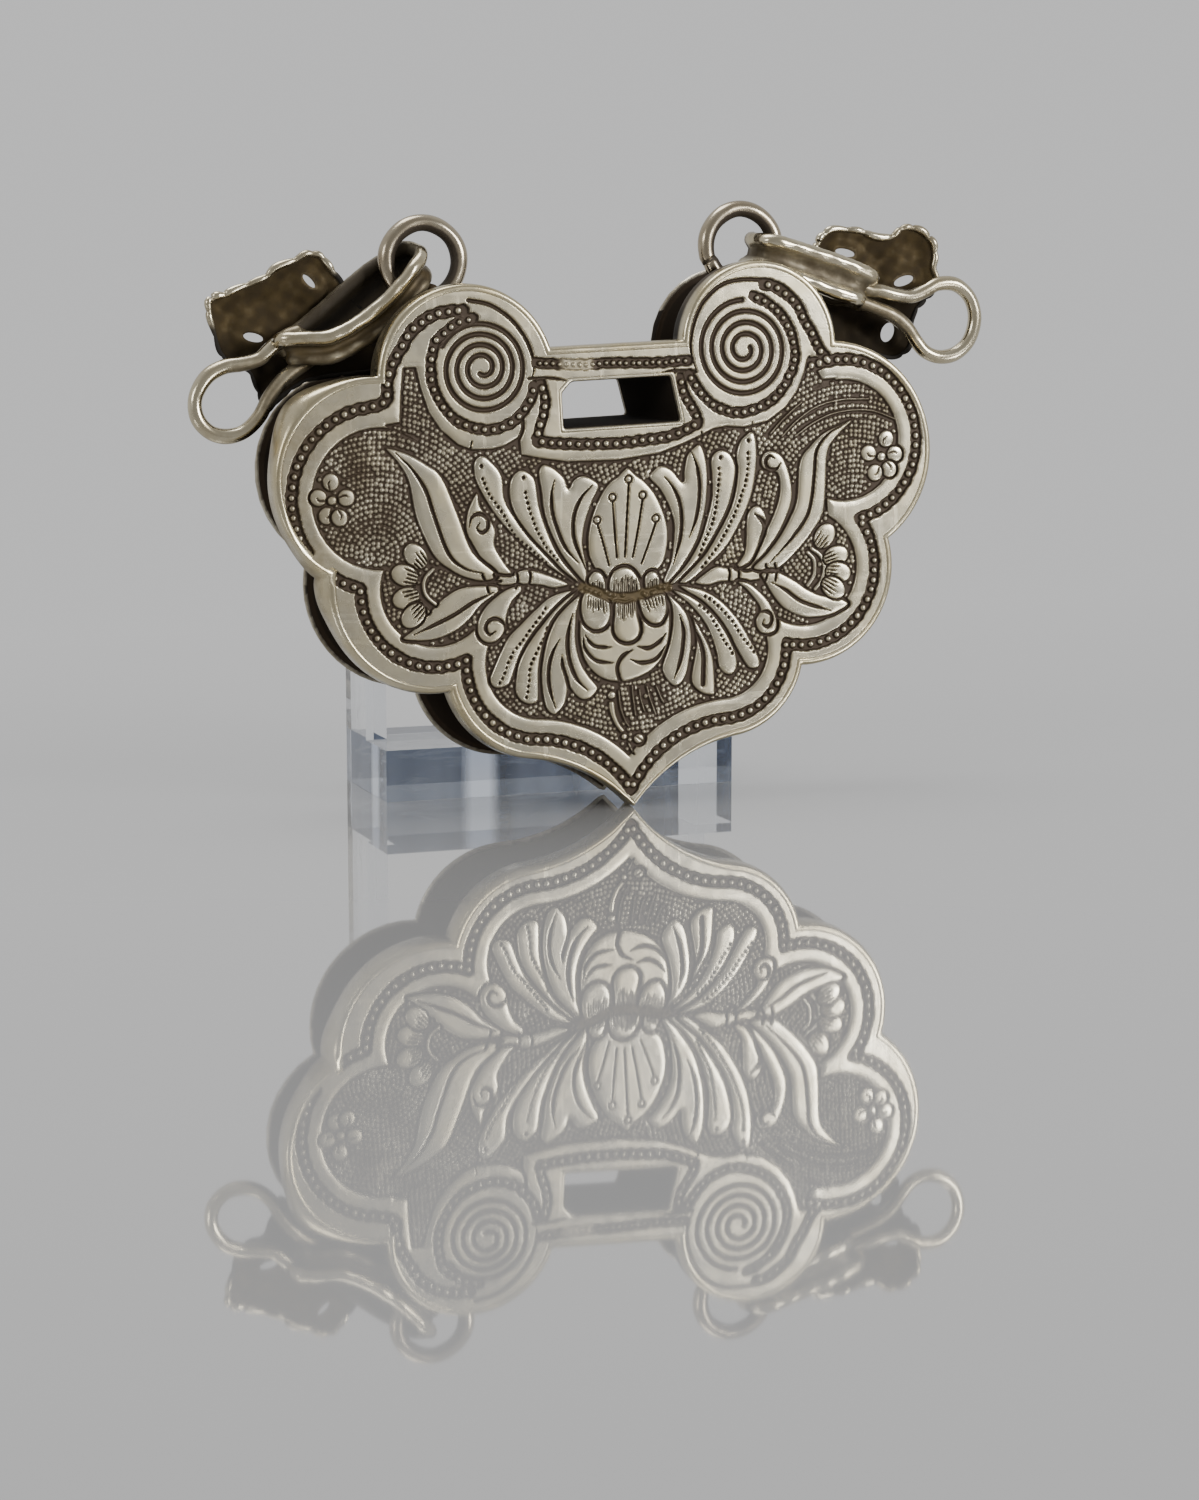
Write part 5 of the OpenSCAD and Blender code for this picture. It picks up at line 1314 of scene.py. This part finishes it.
def plaque(side):
    """Hollow openwork plaque with a crimped edge."""
    edge = resample(smooth_line(PLAQUES[side], True, 6), PLAQUE_PITCH, True)
    middle = edge.mean(0)

    def hollow(x, z, d):
        fold = (0.14 * np.sin(0.9 * x + 0.5 * z + 1) * np.sin(1.1 * z - 0.4 * x + 2)
                + 0.08 * np.sin(1.7 * x - 1.2 * z + 2) + 0.05 * np.sin(3.3 * x + 0.6 * z)
                + 0.05 * np.sin(2.9 * z - 1.4 * x + 1))
        return PLAQUE_Y + 0.85 * rise(d / 2.6) + fold * rise((d - 0.6) / 1.5)

    def outer_side(x, z, d):
        return hollow(x, z, d) + 0.3 + 0.05 * np.sin(6 * np.arctan2(z - middle[1], x - middle[0])) * rise((d - 0.5) / 1)

    holes = [ellipse(at, a, b, turn, 22) for at, a, b, turn in HOLES[side]]
    points, faces, d = cut_sheet([edge] + holes, 0.22, hollow, outer_side)
    x, z = points[:, 0], points[:, 2]
    spots = sum(np.sin(kx * x + kz * z + turn) for kx, kz, turn in
                ((0.9, 0.5, 0), (-0.6, 1.3, 1), (1.9, 1.1, 2), (-1.3, 2.3, 4), (3.1, -2.2, 5), (2.2, 3.7, 3)))
    spots = np.clip(0.5 + 0.2 * spots, 0, 1)
    seen = np.arange(len(points)) < len(d)
    # Painted shade blackens the plaque's face towards its lower part, in shadow behind the strap; a painted highlight
    # keeps its top edge bright
    painted_top_highlight = (np.concatenate([d, d]) < 0.12) & seen & (z > 57)
    oxide = np.where(painted_top_highlight, 0.15, np.where(seen, 0.6 + 0.35 * spots, 0.25 + 0.3 * spots))
    build("plaque_sheet_" + side, points, faces, "worn_silver", plaque_silver_in_shade, oxide,
          np.where(seen, 0.8 - 0.45 * spots, 0.2),
          seen * (0.1 + 0.7 * rise(((57.5 if side == "right" else 55.5) - z) / 4)))

    run = np.linspace(0, 1, len(edge), endpoint=False)
    folds = int(len(edge) * PLAQUE_PITCH / 2.3)
    crimp = np.sqrt(np.abs(np.sin(math.pi * folds * run + 1.1 * np.sin(8 * math.pi * run)
                                  + 0.6 * np.sin(18 * math.pi * run))))
    crimp = crimp * (0.8 + 0.2 * np.sin(14 * math.pi * run + 1))
    lip = ring(edge, PLAQUE_Y + 0.03 - 0.12 * crimp)
    lip[:, [0, 2]] += 0.2 * (crimp - 0.6)[:, None] * np.sign(lip[:, [0, 2]] - middle)
    shadow = rise((57.0 - edge[:, 1]) / 2.5)
    if side == "left":
        shadow = np.maximum(shadow, rise((edge[:, 0] + 29.2) / 0.8))
    points, faces = tube(lip, (0.24 + 0.24 * crimp) * (1 - 0.4 * shadow), 12, closed=True)
    build("plaque_edge_" + side, points, faces, "worn_silver", strap_silver,
          *(np.repeat(v, 12) for v in (np.maximum(0.4 - 0.36 * crimp + 0.9 * shadow, 0.03), 0.3 * (1 - crimp),
                                       0.95 * shadow)))


def solder(side, rows=14, cols=24):
    u, v = np.meshgrid(np.linspace(0, math.pi, rows), np.linspace(0, 2 * math.pi, cols, endpoint=False), indexing="ij")
    blobs = []
    for x, y, z, r in SOLDER[side]:
        swell = r * (1 + 0.12 * np.sin(3 * v + x) * np.sin(2 * u) + 0.07 * np.sin(7 * v + 5 * u))
        ball = [x + swell * np.sin(u) * np.cos(v), y + swell * np.cos(u), z + swell * np.sin(u) * np.sin(v)]
        blobs.append((np.stack(ball, -1).reshape(-1, 3), grid_faces(rows, cols)))
    build("solder_" + side, *join(blobs), "worn_silver", strap_silver, 0.5, 0.75)


for side in ("left", "right"):
    strap(side)
    end_loop(side)
    plaque(side)
    solder(side)


def clear_plastic():
    """Clear acrylic with fine scratches and a bluish cast where it is thick."""
    n = Nodes("clear_plastic")
    fine = n.noise(1400, 3, 0.6)
    lines = n.ramp(n.noise(700, 2, 0.5, stretch=(1, 1, 0.06), distortion=0.7), 0.63, 0.68)
    cross = n.ramp(n.noise(600, 2, 0.5, stretch=(0.05, 0.4, 1), distortion=0.9), 0.64, 0.69)
    scratch = n.math("MAXIMUM", lines, cross)
    surface = n.plus(n.math("MULTIPLY", fine, 0.15), scratch, -0.7)
    tint = n.node("ShaderNodeVolumeAbsorption", {"Color": (0.40, 0.56, 0.82, 1), "Density": 7.5})
    n.tree.links.new(tint.outputs[0], n.out.inputs["Volume"])
    return n.finish(n.node("ShaderNodeBsdfPrincipled", {
        "Base Color": (0.98, 0.99, 1.0, 1), "Roughness": n.math("MULTIPLY", scratch, 0.12), "IOR": 1.49,
        "Transmission Weight": 1.0, "Normal": n.bump(surface, 0.00001, 0.5)}))


def slab_back():
    """The slab's far face, painted with what shows through the plastic: dark blue streaks and one bright band, painted
    reflections of the surroundings.
    """
    n = Nodes("clear_plastic_back")
    broad = n.noise(95, 3, 0.6, stretch=(1, 1, 0.1), distortion=0.3)
    cross = n.noise(420, 4, 0.65, stretch=(0.25, 1, 1.4), distortion=0.6)
    at = n.node("ShaderNodeSeparateXYZ", {"Vector": n.coord}).outputs["X"]
    # Painted highlight: a bright band across the face
    band = n.ramp(n.math("ABSOLUTE", n.math("ADD", at, 0.0065)), 0.0010, 0.0024, 1.0, 0.0)
    tone = n.mix(n.ramp(broad, 0.40, 0.62), (0.024, 0.048, 0.105), (0.15, 0.21, 0.35))
    tone = n.mix(n.math("MULTIPLY", n.ramp(cross, 0.55, 0.72), 0.55), tone, (0.5, 0.58, 0.72))
    tone = n.mix(n.math("MULTIPLY", band, 0.85), tone, (0.85, 0.9, 0.97))
    film = n.node("ShaderNodeBsdfPrincipled", {"Base Color": tone, "Roughness": 0.25})
    clear = n.node("ShaderNodeBsdfTransparent", {"Color": (0.9, 0.94, 1.0, 1)})
    cover = n.math("MULTIPLY", n.ramp(broad, 0.3, 0.8, 0.9, 0.55), n.math("SUBTRACT", 1.0, band))
    return n.finish(n.node("ShaderNodeMixShader", {"Fac": cover, 1: clear.outputs[0], 2: film.outputs[0]}))


# Clear stand, square to the row's axes: the planes of its blocks, and the bevel of its edges
STAND_X = [-21.25, -18.75, 18.75, 21.25]
STAND_Y = [-8.5, 0, 8.5]
STAND_Z = [0.02, 6, 22.5, 25]
STAND_BEVEL = 0.3


def stand():
    """Base slab, two posts at the back and a top plate, as one closed solid with small bevels."""
    full = np.zeros((len(STAND_X) - 1, len(STAND_Y) - 1, len(STAND_Z) - 1), bool)
    full[:, :, 0] = full[:, :, -1] = True
    full[0, -1, 1] = full[-1, -1, 1] = True
    bm = bmesh.new()
    corner = {}

    def at(i, j, k):
        if (i, j, k) not in corner:
            corner[i, j, k] = bm.verts.new((STAND_X[i] * MM, STAND_Y[j] * MM, STAND_Z[k] * MM))
        return corner[i, j, k]

    for block in np.argwhere(full):
        for axis in range(3):
            u, v = (axis + 1) % 3, (axis + 2) % 3
            for end in (0, 1):
                beside = list(block)
                beside[axis] += 1 if end else -1
                if 0 <= beside[axis] < full.shape[axis] and full[tuple(beside)]:
                    continue
                quad = []
                for du, dv in ((0, 0), (1, 0), (1, 1), (0, 1)):
                    p = list(block)
                    p[axis] += end
                    p[u] += du
                    p[v] += dv
                    quad.append(at(*p))
                bm.faces.new(quad if end else quad[::-1])
    sharp = [e for e in bm.edges if len(e.link_faces) == 2 and e.calc_face_angle() > 0.5]
    bmesh.ops.bevel(bm, geom=sharp, offset=STAND_BEVEL * MM, segments=2, profile=0.5, affect="EDGES",
                    clamp_overlap=True)
    me = bpy.data.meshes.new("acrylic_stand")
    bm.to_mesh(me)
    bm.free()
    me.materials.append(clear_plastic())
    me.materials.append(slab_back())
    for face in me.polygons:
        if face.normal.y > 0.9 and face.center.z < (STAND_Z[1] + 0.1) * MM and face.area > 1e-4:
            face.material_index = 1
    obj = add_object("acrylic_stand", me)
    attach(obj, "root")
    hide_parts("stand")


stand()


def stage_floor():
    """Glossy pale floor that fades out behind the object."""
    n = Nodes("stage_floor")
    where = n.node("ShaderNodeSeparateXYZ", {"Vector": n.coord}).outputs["Y"]
    # Painted fall-off of the light: the floor's colour is darker towards the front
    tone = n.mix(n.ramp(where, -0.22, -0.04), (0.37, 0.37, 0.37), (0.42, 0.42, 0.42))
    shader = n.node("ShaderNodeBsdfPrincipled", {"Base Color": tone, "Roughness": 0.03,
                                                 "Coat Weight": 1.0, "Coat Roughness": 0.02, "Coat IOR": 1.5})
    clear = n.node("ShaderNodeBsdfTransparent")
    fade = n.ramp(where, 0.03, 0.16)
    me = bpy.data.meshes.new("floor")
    me.from_pydata([(-2.5, -2.5, 0), (2.5, -2.5, 0), (2.5, 0.16, 0), (-2.5, 0.16, 0)], [], [(0, 1, 2, 3)])
    me.materials.append(n.finish(n.node("ShaderNodeMixShader", {"Fac": fade, 1: shader.outputs[0],
                                                                2: clear.outputs[0]})))
    add_object("floor", me)


def studio():
    """Pale surroundings, a little darker towards the front."""
    world = bpy.data.worlds.new("studio")
    bpy.context.scene.world = world
    world.use_nodes = True
    nodes, links = world.node_tree.nodes, world.node_tree.links
    view = nodes.new("ShaderNodeTexCoord")
    split = nodes.new("ShaderNodeSeparateXYZ")
    fade = nodes.new("ShaderNodeMapRange")
    for socket, value in (("From Min", -0.7), ("From Max", 0.1), ("To Min", 0.37), ("To Max", 0.665)):
        fade.inputs[socket].default_value = value
    links.new(view.outputs["Generated"], split.inputs[0])
    links.new(split.outputs["Y"], fade.inputs["Value"])
    links.new(fade.outputs[0], nodes["Background"].inputs["Strength"])
    nodes["Background"].inputs["Color"].default_value = (1, 1, 1.003, 1)


def softbox(name, at, size, power):
    """Square lamp aimed at the lock."""
    lamp = bpy.data.lights.new(name, "AREA")
    lamp.shape = "RECTANGLE"
    lamp.size = lamp.size_y = size
    lamp.energy = power
    obj = add_object(name, lamp)
    obj.location = at
    obj.rotation_euler = (Vector((0, 0, 0.03)) - Vector(at)).to_track_quat("-Z", "Y").to_euler()
    obj.visible_camera = False


stage_floor()
studio()
softbox("key_right", (0.46, -0.60, 0.24), 0.24, 4.4)
softbox("top", (-0.1, 0.1, 0.75), 0.4, 3.0)
softbox("fill_left", (-0.62, -0.34, 0.3), 0.2, 1.0)

# Camera of the photo: its place in millimetres, its direction, and its lens
CAMERA_AT = np.array([-118.23, -345.89, 61.58])
CAMERA_TO = (0.33781, 0.92812, -0.15643)
camera = bpy.data.cameras.new("camera")
camera.sensor_fit = "VERTICAL"
camera.sensor_height = 36.0
camera.lens = 74.78
camera.clip_start = 0.01
eye = add_object("camera", camera)
eye.location = CAMERA_AT * MM
eye.rotation_euler = Vector(CAMERA_TO).to_track_quat("-Z", "Y").to_euler()
bpy.context.scene.camera = eye
